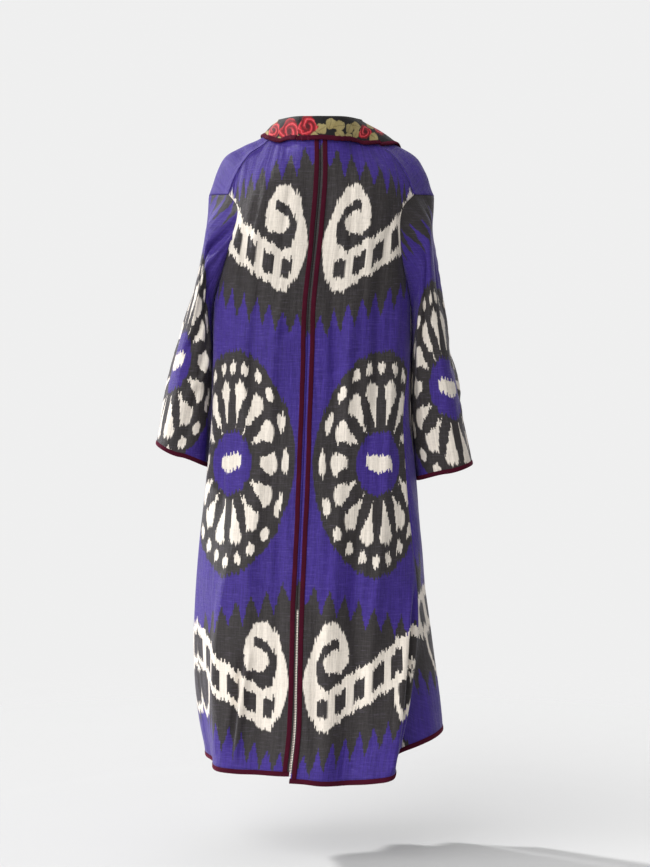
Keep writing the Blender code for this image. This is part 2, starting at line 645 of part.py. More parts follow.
def make_collar(collection):
    tree = body_tree()
    around, across = np.meshgrid(np.linspace(-1, 1, COLLAR_COLUMNS + 1), COLLAR_ACROSS, indexing="ij")
    points = pulled_in(collar(tree, around, across), (0, 0, 0, SEAM_GAP))
    wall("collar", points, PRINT, collection)
    rim = points[:, -1]
    away = points[:, -1] - points[:, -2]
    away = away / np.linalg.norm(away, axis=-1, keepdims=True)
    normal = np.cross(np.gradient(rim, axis=0), away)
    normal = normal / np.linalg.norm(normal, axis=-1, keepdims=True) * BINDING_PROUD
    strip = np.stack([rim + away * SEAM_GAP, rim + away * (SEAM_GAP + COLLAR_BINDING_WIDTH)], axis=1)
    strip[:, 1] = lifted(tree, strip[:, 1], BINDING_LEAF_CLEAR, 0.0)
    wall("collar_binding", strip + normal[:, None], VELVET, collection, 1, BINDING_THICKNESS)


def make_all():
    robe = bpy.data.collections.new("robe")
    bpy.context.scene.collection.children.link(robe)
    for side in (LEFT, RIGHT):
        make_back(side, robe)
        make_front(side, robe)
        make_sleeve(side, robe)
        make_hem_binding(side, robe)
    make_collar(robe)


for old in list(bpy.data.objects):
    bpy.data.objects.remove(old)
make_all()
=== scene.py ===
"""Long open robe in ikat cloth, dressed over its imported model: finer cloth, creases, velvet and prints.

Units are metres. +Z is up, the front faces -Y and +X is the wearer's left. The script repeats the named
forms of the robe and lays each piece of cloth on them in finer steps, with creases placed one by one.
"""

import math
from collections import namedtuple

import bmesh
import bpy
import numpy as np
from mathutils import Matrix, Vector
from mathutils.bvhtree import BVHTree


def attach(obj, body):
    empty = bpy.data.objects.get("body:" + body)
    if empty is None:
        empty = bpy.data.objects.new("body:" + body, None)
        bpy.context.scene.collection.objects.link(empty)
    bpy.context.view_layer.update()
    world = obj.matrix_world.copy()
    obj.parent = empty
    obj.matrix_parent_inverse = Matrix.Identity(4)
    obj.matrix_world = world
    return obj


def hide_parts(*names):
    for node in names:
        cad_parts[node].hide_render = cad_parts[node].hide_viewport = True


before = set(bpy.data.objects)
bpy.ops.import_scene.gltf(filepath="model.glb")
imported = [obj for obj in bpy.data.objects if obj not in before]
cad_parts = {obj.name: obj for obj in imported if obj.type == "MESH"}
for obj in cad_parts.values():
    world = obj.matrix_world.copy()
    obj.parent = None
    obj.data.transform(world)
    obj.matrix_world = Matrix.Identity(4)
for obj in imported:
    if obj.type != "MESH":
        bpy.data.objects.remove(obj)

bl_info = {
    "name": "Ikat Robe",
    "version": (1, 0, 0),
    "blender": (4, 5, 0),
    "location": "View3D > Sidebar > Robe",
    "description": "Dresses the robe's packed model in ikat cloth, velvet edges and a printed collar",
    "category": "Object",
}

# Cloth and trim
WALL = 0.002
SEAM_GAP = 0.0003
BINDING_WIDTH = 0.009
CUFF_BINDING_WIDTH = 0.008
COLLAR_BINDING_WIDTH = 0.009
TAPE_WIDTH = 0.0095
TAPE_FROM_SEAM = 0.0042

# Body of the robe. Its side seams are given as angles from the seam of the back.
ARMPIT_Z = -0.36
HEM_Z = -1.325
SIDE_SEAM_SETTLES_Z = -0.62
VENT_TOP_Z = -1.02
VENT_GAP = 0.0016
FRONT_GAP_TOP = 0.003
FRONT_GAP_HEM = 0.008
SECTION_POWER = 2.3
FOLD_GROWTH = 1.3
FOLD_GROWS_TO = 1.1
NECK_SHARE = 0.3
HALF_DEGREE = 0.5
BELOW_ARMPIT = -0.25
LOWER_ROWS = 13
ARMHOLE_STEPS = 40

LEFT, RIGHT = 1, -1
MIRROR = np.array((-1.0, 1.0, 1.0))
SIDE_SEAM_ANGLE_ARMPIT = {LEFT: 86.0, RIGHT: 92.0}
SIDE_SEAM_ANGLE_HEM = {LEFT: 80.0, RIGHT: 80.0}
SIDE_NAMES = {LEFT: "left", RIGHT: "right"}

# Level sections of the body: half width, where its centre lies, how far behind the origin it is widest,
# how deep it is behind and before that, and how many degrees the seam of the back has swung towards the
# wearer's left.
Section = namedtuple("Section", "z half_width centre_x widest_y back front swing")
BODY_SECTIONS = (
    Section(-1.400, 0.243, -0.012, 0.000, 0.180, 0.172, 25.0),
    Section(-1.309, 0.245, -0.007, 0.000, 0.176, 0.170, 21.5),
    Section(-1.250, 0.248, -0.001, 0.000, 0.172, 0.166, 18.0),
    Section(-1.103, 0.248, 0.012, 0.002, 0.161, 0.160, 13.0),
    Section(-0.987, 0.241, 0.017, 0.006, 0.150, 0.156, 11.0),
    Section(-0.903, 0.235, 0.018, 0.010, 0.140, 0.153, 9.8),
    Section(-0.714, 0.217, 0.018, 0.018, 0.121, 0.150, 7.5),
    Section(-0.610, 0.209, 0.018, 0.020, 0.112, 0.149, 6.2),
    Section(-0.500, 0.207, 0.017, 0.020, 0.107, 0.147, 5.0),
    Section(-0.360, 0.205, 0.016, 0.018, 0.108, 0.144, 3.2),
    Section(-0.230, 0.198, 0.009, 0.012, 0.110, 0.132, 1.0),
    Section(-0.140, 0.190, -0.003, 0.000, 0.118, 0.110, 0.0),
    Section(-0.080, 0.180, -0.002, 0.000, 0.110, 0.100, 0.0),
    Section(0.040, 0.170, 0.000, 0.000, 0.080, 0.080, 0.0),
)

# The height of the hem at angles from the seam of the back. The back's right half hangs a little lower than
# its left, and the hem rises at the wearer's right side.
HemPoint = namedtuple("HemPoint", "angle z")
HEM_LEFT = (
    HemPoint(0, -1.3160),
    HemPoint(45, -1.3170),
    HemPoint(75, -1.3100),
    HemPoint(100, -1.3000),
    HemPoint(140, -1.3080),
    HemPoint(180, -1.3150),
)
HEM_RIGHT = (
    HemPoint(-180, -1.3150),
    HemPoint(-145, -1.2950),
    HemPoint(-110, -1.2480),
    HemPoint(-95, -1.2560),
    HemPoint(-80, -1.2800),
    HemPoint(-66, -1.3130),
    HemPoint(-50, -1.3290),
    HemPoint(0, -1.3300),
)

# Hanging folds: where each lies at the hem as an angle from the seam of the back, towards the wearer's
# left, its width, how far it stands out (or in) and is pushed along at the hem, the height where it
# begins, and its lean up to that height.
Fold = namedtuple("Fold", "angle width depth push top lean")
FOLDS = (
    Fold(-57, 11, 0.028, -0.010, -0.72, -37),
    Fold(-75, 10, -0.045, 0.010, -0.72, -32),
    Fold(-106, 12, 0.010, 0.000, -0.60, -6),
    Fold(-38, 9, -0.010, 0.000, -0.55, -8),
    Fold(-20, 9, 0.009, 0.000, -0.50, -2),
    Fold(20, 8, -0.008, 0.000, -0.62, 4),
    Fold(40, 9, 0.012, 0.000, -0.50, 6),
    Fold(61, 9, -0.013, 0.000, -0.62, 4),
    Fold(80, 10, 0.010, 0.000, -0.55, 2),
    Fold(101, 10, -0.020, 0.000, -0.60, 0),
    Fold(122, 10, 0.020, 0.000, -0.50, -3),
    Fold(143, 9, -0.018, 0.000, -0.62, -3),
    Fold(161, 8, 0.012, 0.000, -0.50, 0),
    Fold(-130, 10, -0.018, 0.000, -0.62, 3),
    Fold(-148, 9, 0.016, 0.000, -0.50, 3),
    Fold(-166, 8, -0.010, 0.000, -0.65, 0),
)

# Curves across the upper body, each through five points from the middle edge outward, for the wearer's
# left. The knots are the shares of a panel's width at those points.
Row = namedtuple("Row", "share points")
BACK_KNOTS = (0.0, 0.15, 0.30, 0.65, 1.0)
CHEST_BACK = ((0, 0.126, -0.215), (0.036, 0.126, -0.215), (0.073, 0.123, -0.217), (0.146, 0.106, -0.230))
BLADE_BACK = ((0, 0.107, -0.085), (0.036, 0.106, -0.085), (0.072, 0.101, -0.088), (0.138, 0.092, -0.118))
NECK_BACK = ((0, 0.078, 0.000), (0.044, 0.066, 0.002), (0.080, 0.022, 0.002), (0.150, 0.046, -0.056))
BACK_ROWS = (
    Row(0.40, CHEST_BACK + ((0.178, 0.084, -0.250),)),
    Row(0.76, BLADE_BACK + ((0.171, 0.076, -0.168),)),
    Row(1.00, NECK_BACK + ((0.193, 0.054, -0.138),)),
)
FRONT_KNOTS = (0.0, 0.25, 0.5, 0.75, 1.0)
CHEST_FRONT = (
    (0.048, -0.116, -0.215), (0.086, -0.116, -0.220), (0.121, -0.109, -0.228), (0.153, -0.098, -0.238),
)
YOKE_FRONT = (
    (0.072, -0.076, -0.085), (0.104, -0.084, -0.095), (0.136, -0.087, -0.110), (0.164, -0.083, -0.134),
)
SHOULDER_TOP = (
    (0.082, -0.012, 0.004), (0.120, -0.004, -0.016), (0.160, -0.002, -0.033), (0.206, -0.001, -0.064),
)
SEAM_BEHIND = (
    (0.080, 0.022, 0.002), (0.120, 0.037, -0.034), (0.150, 0.046, -0.056), (0.176, 0.052, -0.096),
)
FRONT_ROWS = (
    Row(0.30, CHEST_FRONT + ((0.178, -0.084, -0.250),)),
    Row(0.58, YOKE_FRONT + ((0.186, -0.069, -0.168),)),
    Row(0.84, SHOULDER_TOP + ((0.236, 0.000, -0.138),)),
    Row(1.00, SEAM_BEHIND + ((0.193, 0.054, -0.138),)),
)

# Level sections of each sleeve: its inner side beside the body, its outer side, its middle and half depth.
SleeveSection = namedtuple("SleeveSection", "z inner outer middle_y half_depth")
SLEEVE_SECTIONS = {
    LEFT: (
        SleeveSection(-0.136, 0.190, 0.229, 0.000, 0.074),
        SleeveSection(-0.233, 0.206, 0.243, -0.004, 0.078),
        SleeveSection(-0.342, 0.2235, 0.266, -0.012, 0.077),
        SleeveSection(-0.418, 0.2232, 0.289, -0.026, 0.076),
        SleeveSection(-0.499, 0.2228, 0.311, -0.036, 0.076),
        SleeveSection(-0.579, 0.2248, 0.330, -0.040, 0.077),
        SleeveSection(-0.700, 0.2345, 0.354, -0.042, 0.080),
    ),
    RIGHT: (
        SleeveSection(-0.136, 0.188, 0.232, 0.000, 0.074),
        SleeveSection(-0.241, 0.190, 0.239, -0.004, 0.078),
        SleeveSection(-0.348, 0.1920, 0.251, -0.012, 0.077),
        SleeveSection(-0.413, 0.1910, 0.264, -0.018, 0.076),
        SleeveSection(-0.477, 0.1895, 0.277, -0.022, 0.076),
        SleeveSection(-0.590, 0.189, 0.298, -0.024, 0.077),
        SleeveSection(-0.740, 0.2025, 0.330, -0.026, 0.080),
    ),
}
CUFF_OUTER_Z = {LEFT: -0.653, RIGHT: -0.694}
CUFF_INNER_Z = {LEFT: -0.701, RIGHT: -0.728}
SLEEVE_SETTLES_OVER = 0.075
UNDERARM_CLEAR = {LEFT: 0.0040, RIGHT: 0.0034}
UNDERARM_OPENS = 0.05
SLEEVE_POWER = 2.7

# Along the edge that the collar is sewn to, on each side: how far a station is from the middle of the back
# to where the lapel breaks, how the fold rises off that edge, where the leaf's edge lies on the wearer's
# left, and how much further out it lies on the right.
CollarStation = namedtuple("CollarStation", "share rise edge right_more")
COLLAR_STATIONS = (
    CollarStation(0.00, (0.000, 0.002, 0.020), (0.000, 0.104, -0.014), 0.000),
    CollarStation(0.10, (0.001, 0.002, 0.019), (0.045, 0.100, -0.014), 0.003),
    CollarStation(0.20, (0.002, 0.001, 0.018), (0.084, 0.080, -0.007), 0.012),
    CollarStation(0.30, (0.002, -0.001, 0.016), (0.105, 0.032, -0.017), 0.040),
    CollarStation(0.40, (0.002, -0.005, 0.013), (0.113, -0.014, -0.024), 0.052),
    CollarStation(0.55, (0.001, -0.010, 0.011), (0.120, -0.076, -0.075), 0.036),
    CollarStation(0.75, (-0.002, -0.010, 0.005), (0.104, -0.112, -0.165), 0.012),
    CollarStation(0.90, (-0.003, -0.009, 0.002), (0.060, -0.128, -0.262), 0.000),
    CollarStation(1.00, (-0.002, -0.009, 0.000), (0.040, -0.130, -0.322), 0.000),
)
NECK_TURN = 0.3
LAPEL_BREAK_V = 1.12
PAST_THE_BREAK = 1.1
FRONT_BINDING_TOP_V = 1.0
COLLAR_FOLD = 0.003
COLLAR_BULGE = 0.003
STAND_TOP, CREST, LEAF_TOP, LEAF_MIDDLE = 0.28, 0.36, 0.44, 0.72
LEAF_CLEAR = 0.0065
BINDING_LEAF_CLEAR = 0.0062
REST_FROM_V = 0.8
REST_COLUMNS, REST_ROWS = 25, 41

# Creases are placed on the cloth's own map: metres out from the middle seam or line, and metres
# down. Height is how far one stands out, or in, width its half width, and bow how far its middle bends
# aside.
Crease = namedtuple("Crease", "start end height width bow")
BACK_CREASES = {
    LEFT: (
        Crease((0.060, 0.10), (0.072, 0.30), -0.0030, 0.009, 0.004),
        Crease((0.118, 0.14), (0.130, 0.34), 0.0041, 0.011, 0.006),
        Crease((0.165, 0.20), (0.150, 0.42), -0.0049, 0.012, -0.006),
        Crease((0.060, 0.36), (0.072, 0.62), 0.0049, 0.012, 0.008),
        Crease((0.108, 0.33), (0.116, 0.55), -0.0056, 0.011, 0.004),
        Crease((0.150, 0.42), (0.130, 0.74), 0.0056, 0.014, -0.010),
        Crease((0.190, 0.44), (0.178, 0.80), -0.0064, 0.013, 0.008),
        Crease((0.090, 0.70), (0.112, 1.04), 0.0064, 0.015, 0.008),
        Crease((0.050, 0.80), (0.046, 1.16), -0.0049, 0.012, -0.005),
        Crease((0.102, 1.09), (0.122, 1.28), 0.0140, 0.008, 0.003),
        Crease((0.112, 1.09), (0.134, 1.28), -0.0112, 0.008, 0.003),
        Crease((0.160, 0.92), (0.178, 1.26), 0.0075, 0.016, 0.010),
        Crease((0.020, 0.40), (0.090, 0.47), -0.0022, 0.010, 0.004),
        Crease((0.030, 0.95), (0.110, 0.90), -0.0022, 0.010, -0.004),
    ),
    RIGHT: (
        Crease((-0.055, 0.09), (-0.070, 0.27), -0.0030, 0.009, -0.004),
        Crease((-0.100, 0.12), (-0.118, 0.34), 0.0037, 0.011, 0.005),
        Crease((-0.155, 0.18), (-0.140, 0.40), -0.0052, 0.012, 0.006),
        Crease((-0.040, 0.34), (-0.052, 0.60), -0.0041, 0.012, -0.006),
        Crease((-0.092, 0.36), (-0.084, 0.66), 0.0052, 0.013, 0.008),
        Crease((-0.140, 0.38), (-0.130, 0.66), -0.0056, 0.012, -0.008),
        Crease((-0.186, 0.40), (-0.172, 0.78), 0.0068, 0.014, 0.006),
        Crease((-0.070, 0.72), (-0.056, 1.08), 0.0056, 0.014, -0.006),
        Crease((-0.118, 0.78), (-0.128, 1.12), -0.0064, 0.014, 0.008),
        Crease((-0.170, 0.84), (-0.150, 1.20), 0.0068, 0.014, 0.006),
        Crease((-0.036, 1.00), (-0.044, 1.30), -0.0049, 0.011, 0.004),
        Crease((-0.266, 0.96), (-0.236, 1.31), -0.0150, 0.012, 0.006),
        Crease((-0.246, 0.96), (-0.214, 1.31), 0.0063, 0.010, 0.006),
        Crease((-0.030, 0.52), (-0.100, 0.47), -0.0022, 0.010, 0.004),
    ),
}
FRONT_CREASES = {
    LEFT: (
        Crease((0.050, 0.20), (0.070, 0.60), -0.0049, 0.012, 0.006),
        Crease((0.110, 0.25), (0.120, 0.74), 0.0056, 0.013, -0.008),
        Crease((0.170, 0.30), (0.160, 0.80), -0.0056, 0.013, 0.006),
        Crease((0.060, 0.72), (0.050, 1.22), 0.0068, 0.014, 0.008),
        Crease((0.130, 0.80), (0.150, 1.26), -0.0071, 0.014, -0.006),
        Crease((0.215, 0.66), (0.225, 1.20), 0.0068, 0.015, 0.008),
    ),
    RIGHT: (
        Crease((-0.045, 0.22), (-0.060, 0.55), -0.0045, 0.012, -0.006),
        Crease((-0.100, 0.24), (-0.116, 0.70), 0.0056, 0.013, 0.008),
        Crease((-0.160, 0.32), (-0.150, 0.84), -0.0060, 0.013, -0.006),
        Crease((-0.070, 0.76), (-0.056, 1.24), 0.0064, 0.014, -0.008),
        Crease((-0.135, 0.84), (-0.150, 1.22), -0.0068, 0.014, 0.006),
        Crease((-0.210, 0.70), (-0.220, 1.16), 0.0068, 0.015, -0.008),
    ),
}

# On a sleeve, metres behind (-) or before (+) its outer line, and metres down from the armhole's top
SLEEVE_CREASES = {
    LEFT: (
        Crease((-0.075, 0.05), (-0.020, 0.20), -0.0059, 0.009, 0.006),
        Crease((-0.095, 0.09), (-0.040, 0.26), 0.0062, 0.010, 0.006),
        Crease((-0.060, 0.02), (-0.045, 0.14), -0.0051, 0.007, 0.002),
        Crease((-0.110, 0.20), (-0.030, 0.33), -0.0066, 0.011, -0.008),
        Crease((-0.120, 0.30), (-0.060, 0.42), 0.0066, 0.012, -0.006),
        Crease((-0.080, 0.36), (-0.060, 0.52), -0.0055, 0.011, 0.004),
        Crease((0.030, 0.08), (0.070, 0.30), -0.0059, 0.011, -0.006),
        Crease((0.080, 0.22), (0.060, 0.46), 0.0059, 0.012, 0.006),
    ),
    RIGHT: (
        Crease((0.070, 0.06), (0.030, 0.22), -0.0059, 0.009, -0.006),
        Crease((0.090, 0.10), (0.050, 0.28), 0.0062, 0.010, -0.006),
        Crease((0.050, 0.02), (0.042, 0.16), -0.0055, 0.007, 0.002),
        Crease((0.110, 0.22), (0.040, 0.34), -0.0070, 0.011, 0.008),
        Crease((0.115, 0.33), (0.050, 0.44), 0.0066, 0.012, 0.006),
        Crease((0.070, 0.38), (0.060, 0.54), -0.0055, 0.011, -0.004),
        Crease((-0.030, 0.08), (-0.070, 0.30), -0.0059, 0.011, 0.006),
        Crease((-0.080, 0.24), (-0.060, 0.48), 0.0059, 0.012, -0.006),
    ),
}
EDGE_HELD = 0.014
SEAM_HELD_TURN = 0.08
LEAF_SWELL = 6
CREASE_LEAN = 0.7

# A faint ripple of all the cloth: its height, how fast its broad and fine waves follow each other across,
# how they bend and lean on the way down, and how much it fades from place to place.
RIPPLE = 0.0007
BROAD_RATE, BROAD_BENDS, BROAD_BEND_RATE = 61, 9, 3.1
FINE_RATE, FINE_LEAN, FINE_START, FINE_SHARE = 139, 7, 2, 0.6
RIPPLE_STAYS, RIPPLE_FADES, FADE_DOWN, FADE_OUT = 0.6, 0.4, 11, 23

# The scene's own sizes
CLOTH_THICKNESS = 0.0014
SHOULDER_TOP_V = 1.84
SHOULDER_DROP_OVER = 0.35
SEAM_LAP_V = 1.955
SEAM_LAP_HEIGHT = 0.0012
PATTERN_TURN = {LEFT: 0.388, RIGHT: 0.335}
SLEEVE_SLOPE = 1.03
SLEEVE_PATTERN_STARTS = {LEFT: 0.336, RIGHT: 0.300}
SLEEVE_TUCK = 0.0012
MEDALLION_U = 0.158
CURLS_FROM_V = 0.6
SELVAGE_FROM_V = 0.99
VENT_LAP, VENT_TUCK = 0.0035, 0.0020
TAPE_LIFT = 0.0008
TAPE_ROUND = 0.0011
TAPE_GRIP = 0.4
BINDING_LAP = 0.0015
BINDING_ROUND = 0.0021
ROLL_POWER = 0.7
WANDER = 0.0003
WANDER_WAVES = ((23, 1.0, 0.0), (57, 0.6, 1.3), (131, 0.3, 0.0))
MERGED_WITHIN = 1e-6

# Steps of the grids, fine and quick: columns, and then rows, or the rows below and above the armpit
BACK_STEPS = ((68, 34), (170, 80), (64, 30))
FRONT_STEPS = ((64, 32), (150, 70), (100, 44))
SLEEVE_STEPS = ((120, 60), (130, 60))
COLLAR_STEPS = ((260, 120), (34, 22))
TAPE_STEPS = ((150, 70), (50, 24))
BINDING_STEPS = (150, 70)
CUFF_STEPS = (160, 80)
TAPE_SIDES, BINDING_SIDES = 14, 16

FINISH_NAMES = {"ikat": "ikat cotton", "velvet": "maroon velvet", "rose_print": "rose print"}
IMAGE_WIDTH, IMAGE_HEIGHT = 650, 867
FOCAL_PIXELS = 2381
AXIS_PIXEL = (320, 320.5)

# Each light: where it shines from, how wide it is in degrees, and its share of the key's or fill's strength
Light = namedtuple("Light", "name place spread share")
LIGHTS = (
    Light("key_light", (3.5, -2.2, 1.7), 3, 1.0),
    Light("fill_light", (3.9, 3.4, 1.9), 75, 1.0),
    Light("front_light", (-1.0, -4.0, 0.8), 70, 0.3),
)
LIT_PLACE = (0, 0, -0.7)
FLOOR_MARGIN, FLOOR_SIDES = 0.1, 96

# The rose print: where each flower's middle lies along the collar and across it, and its size. Each leaf has
# its length and how many degrees it is turned.
Rose = namedtuple("Rose", "along across size")
Leaf = namedtuple("Leaf", "along across length turn")
ROSES = [Rose(*row) for row in (
    (0.074, 0.055, 0.0263), (0.027, 0.047, 0.0213), (-0.108, 0.059, 0.0157), (0.120, 0.049, 0.0190),
    (-0.165, 0.051, 0.0258), (0.190, 0.057, 0.0269), (-0.235, 0.061, 0.0213), (0.270, 0.047, 0.0224),
    (-0.310, 0.051, 0.0269), (0.340, 0.057, 0.0258), (-0.390, 0.053, 0.0224), (0.405, 0.051, 0.0224),
    (0.165, 0.026, 0.0180), (-0.190, 0.026, 0.0180), (0.300, 0.024, 0.0170), (-0.345, 0.026, 0.0180),
)]
LEAVES = [Leaf(*row) for row in (
    (0.014, 0.069, 0.026, -20), (-0.003, 0.053, 0.026, 35), (-0.022, 0.042, 0.026, 80),
    (-0.040, 0.046, 0.028, 10), (-0.043, 0.065, 0.024, -25), (-0.063, 0.071, 0.026, 30),
    (-0.066, 0.050, 0.024, 60), (-0.085, 0.044, 0.026, -15), (-0.084, 0.061, 0.022, 75),
    (0.046, 0.075, 0.024, 15), (0.099, 0.075, 0.026, 40), (-0.130, 0.075, 0.028, -30),
    (-0.132, 0.043, 0.026, 20), (0.147, 0.065, 0.028, -50), (0.160, 0.041, 0.026, 15),
    (-0.200, 0.043, 0.028, 70), (0.228, 0.051, 0.030, -20), (-0.270, 0.057, 0.030, 30),
    (0.305, 0.065, 0.028, 60), (-0.350, 0.047, 0.028, -40), (0.372, 0.047, 0.028, 20),
    (0.200, 0.030, 0.028, 60), (-0.225, 0.030, 0.028, -50), (0.245, 0.034, 0.028, 0),
    (-0.275, 0.036, 0.028, 10), (0.335, 0.030, 0.026, -40), (-0.310, 0.028, 0.026, 60),
    (-0.150, 0.030, 0.026, 20), (0.130, 0.030, 0.026, -20),
)]
COLLAR_CREASES = (
    Crease((-0.05, 0.05), (-0.03, 0.10), 0.0012, 0.010, 0.0),
    Crease((0.09, 0.05), (0.10, 0.10), -0.0012, 0.010, 0.0),
)


def smooth(knots, values, at, own=False):
    """A smooth curve through values at the knots, read at each place. The values may be numbers or points.

    With own, each place has its own curve, and the values are knots by places by coordinates.
    """
    knots = np.asarray(knots, float)
    values = np.asarray(values, float)
    at = np.asarray(at, float)
    steps = np.diff(knots)
    shape = (-1,) + (1,) * (values.ndim - 1)
    secants = np.diff(values, axis=0) / steps.reshape(shape)
    slopes = np.empty_like(values)
    slopes[0], slopes[-1] = secants[0], secants[-1]
    before, after = steps[:-1].reshape(shape), steps[1:].reshape(shape)
    slopes[1:-1] = (after * secants[:-1] + before * secants[1:]) / (before + after)
    i = np.clip(np.searchsorted(knots, at, side="right") - 1, 0, len(knots) - 2)
    h = steps[i]
    u = (at - knots[i]) / h
    low, high = ((i, np.arange(len(at))), (i + 1, np.arange(len(at)))) if own else (i, i + 1)
    if values.ndim > 1:
        h, u = h[..., None], u[..., None]
    inside = (
        (1 + 2 * u) * (1 - u) ** 2 * values[low]
        + u * (1 - u) ** 2 * h * slopes[low]
        + u**2 * (3 - 2 * u) * values[high]
        + u**2 * (u - 1) * h * slopes[high]
    )
    below = values[low] + u * h * slopes[low]
    above = values[high] + (u - 1) * h * slopes[high]
    return np.where(u < 0, below, np.where(u > 1, above, inside))


def ease(x):
    """From 0 to 1 with a level start and end."""
    x = np.clip(x, 0, 1)
    return x * x * (3 - 2 * x)


def section_value(name, z):
    rows = sorted(BODY_SECTIONS)
    return smooth([r.z for r in rows], [getattr(r, name) for r in rows], z)


def folds_at(angle, z, measure):
    """How far the folds carry the cloth out (depth) or along (push), at an angle from the back's seam."""
    total = np.zeros(np.broadcast(angle, z).shape)
    for fold in FOLDS:
        growth = np.clip((fold.top - z) / (fold.top - HEM_Z), 0, FOLD_GROWS_TO)
        centre = fold.angle + fold.lean * (1 - growth)
        away = (angle - centre + 180) % 360 - 180
        total += getattr(fold, measure) * growth**FOLD_GROWTH * np.exp(-((away / fold.width) ** 2))
    return total


def ring(angle, z):
    """A point of the body's outer face, at an angle from the seam of the back and a height."""
    turned = np.radians(angle + section_value("swing", z))
    sine, cosine = np.sin(turned), np.cos(turned)
    half_width = section_value("half_width", z)
    depth = np.where(cosine > 0, section_value("back", z), section_value("front", z))
    n = SECTION_POWER
    reach = ((np.abs(sine) / half_width) ** n + (np.abs(cosine) / depth) ** n) ** (-1 / n)
    reach = reach + folds_at(angle, z, "depth")
    along = folds_at(angle, z, "push")
    x = section_value("centre_x", z) + reach * sine + along * cosine
    y = section_value("widest_y", z) + reach * cosine - along * sine
    return np.stack([x, y, z + 0 * x], axis=-1)


def hem_height(angle):
    left = smooth([p.angle for p in HEM_LEFT], [p.z for p in HEM_LEFT], angle)
    right = smooth([p.angle for p in HEM_RIGHT], [p.z for p in HEM_RIGHT], angle)
    return np.where(angle < 0, right, left)


def sided(points, side):
    """Points given for the wearer's left, on either side, shifted with the body's centre line."""
    points = np.asarray(points, float)
    x = side * points[..., 0] + section_value("centre_x", points[..., 2])
    return np.stack([x, points[..., 1], points[..., 2]], axis=-1)


def shoulder_seam(side, share):
    """The seam behind the shoulder, from the neck to the armhole."""
    return smooth(FRONT_KNOTS, sided(FRONT_ROWS[-1].points, side), share)


def back_top(side, s):
    """The back panel's top edge: the neck, then the seam behind the shoulder."""
    points = np.array(BACK_ROWS[-1].points[:3])
    points = np.concatenate([points[1:2] * MIRROR, points])
    neck = smooth((-BACK_KNOTS[1],) + BACK_KNOTS[:3], sided(points, side), np.minimum(s, NECK_SHARE))
    seam = shoulder_seam(side, np.clip((s - NECK_SHARE) / (1 - NECK_SHARE), 0, 1))
    return np.where((s < NECK_SHARE)[..., None], neck, seam)


def level_height(angle, v):
    """The height of row v of the lower body: 0 at the hem and 1 at the armpit."""
    low = hem_height(angle)
    return low + (ARMPIT_Z - low) * v


def upper_body(side, s, v, knots, rows, angle_of, top, mirrored=False):
    """Above the armpit: a smooth surface from the body's level sections up through the rows."""
    t = v - 1
    below = BELOW_ARMPIT
    low_z = ARMPIT_Z + below * (ARMPIT_Z - HEM_Z) / LOWER_ROWS
    shares = [below, 0.0] + [row.share for row in rows]
    curves = [ring(angle_of(s, z + 0 * s), z + 0 * s) for z in (low_z, ARMPIT_Z)]
    for row in rows[:-1]:
        points = np.array(row.points)
        at = np.array(knots)
        if mirrored:
            points = np.concatenate([points[1:2] * MIRROR, points])
            at = np.concatenate([-at[1:2], at])
        curves.append(smooth(at, sided(points, side), s))
    curves = np.stack(curves + [top(s)])
    flat = curves.reshape(len(shares), -1, 3)
    return smooth(shares, flat, t.reshape(-1), own=True).reshape(t.shape + (3,))


def side_seam(side, z):
    """The angle of the side seam from the seam of the back."""
    share = ease((ARMPIT_Z - z) / (ARMPIT_Z - SIDE_SEAM_SETTLES_Z))
    high, low = SIDE_SEAM_ANGLE_ARMPIT[side], SIDE_SEAM_ANGLE_HEM[side]
    return side * (high + (low - high) * share)


def back(side, s, v):
    """The back panel's outer face: s from the middle outward, v 0 at the hem, 1 at the armpit, 2 on top."""
    s, v = np.broadcast_arrays(np.asarray(s, float), np.asarray(v, float))
    low_v = np.minimum(v, 1)
    rough = level_height(side * np.maximum(SIDE_SEAM_ANGLE_HEM[side] * s, HALF_DEGREE), low_v)
    angle = side_seam(side, rough) * s
    z = level_height(side * np.maximum(np.abs(angle), HALF_DEGREE), low_v)
    vent = VENT_GAP / 2 * ease((VENT_TOP_Z - z) / (VENT_TOP_Z - HEM_Z))
    low = ring(angle + side * np.degrees(vent / section_value("back", z)) * (1 - s), z)
    high = upper_body(
        side, s, np.maximum(v, 1), BACK_KNOTS, BACK_ROWS,
        lambda share, z: side_seam(side, z) * share, lambda share: back_top(side, share), mirrored=True,
    )
    return np.where((v <= 1)[..., None], low, high)


def front_angle(side, s, z):
    """The angle of a place on the front panel: s is 0 at the front edge and 1 at the side seam."""
    share = (ARMPIT_Z - z) / (ARMPIT_Z - HEM_Z)
    gap = FRONT_GAP_TOP + (FRONT_GAP_HEM - FRONT_GAP_TOP) * share + BINDING_WIDTH
    edge = 180 - np.degrees(gap / section_value("front", z))
    return side * edge + (side_seam(side, z) - side * edge) * s


def front(side, s, v):
    """The front panel's outer face: s from the front edge, v 0 at the hem, 1 at the armpit, 2 on top."""
    s, v = np.broadcast_arrays(np.asarray(s, float), np.asarray(v, float))
    rough = level_height(front_angle(side, s, HEM_Z + 0 * s), np.minimum(v, 1))
    angle = front_angle(side, s, rough)
    low = ring(angle, level_height(angle, np.minimum(v, 1)))
    high = upper_body(
        side, s, np.maximum(v, 1), FRONT_KNOTS, FRONT_ROWS,
        lambda share, z: front_angle(side, share, z), lambda share: shoulder_seam(side, share),
    )
    return np.where((v <= 1)[..., None], low, high)


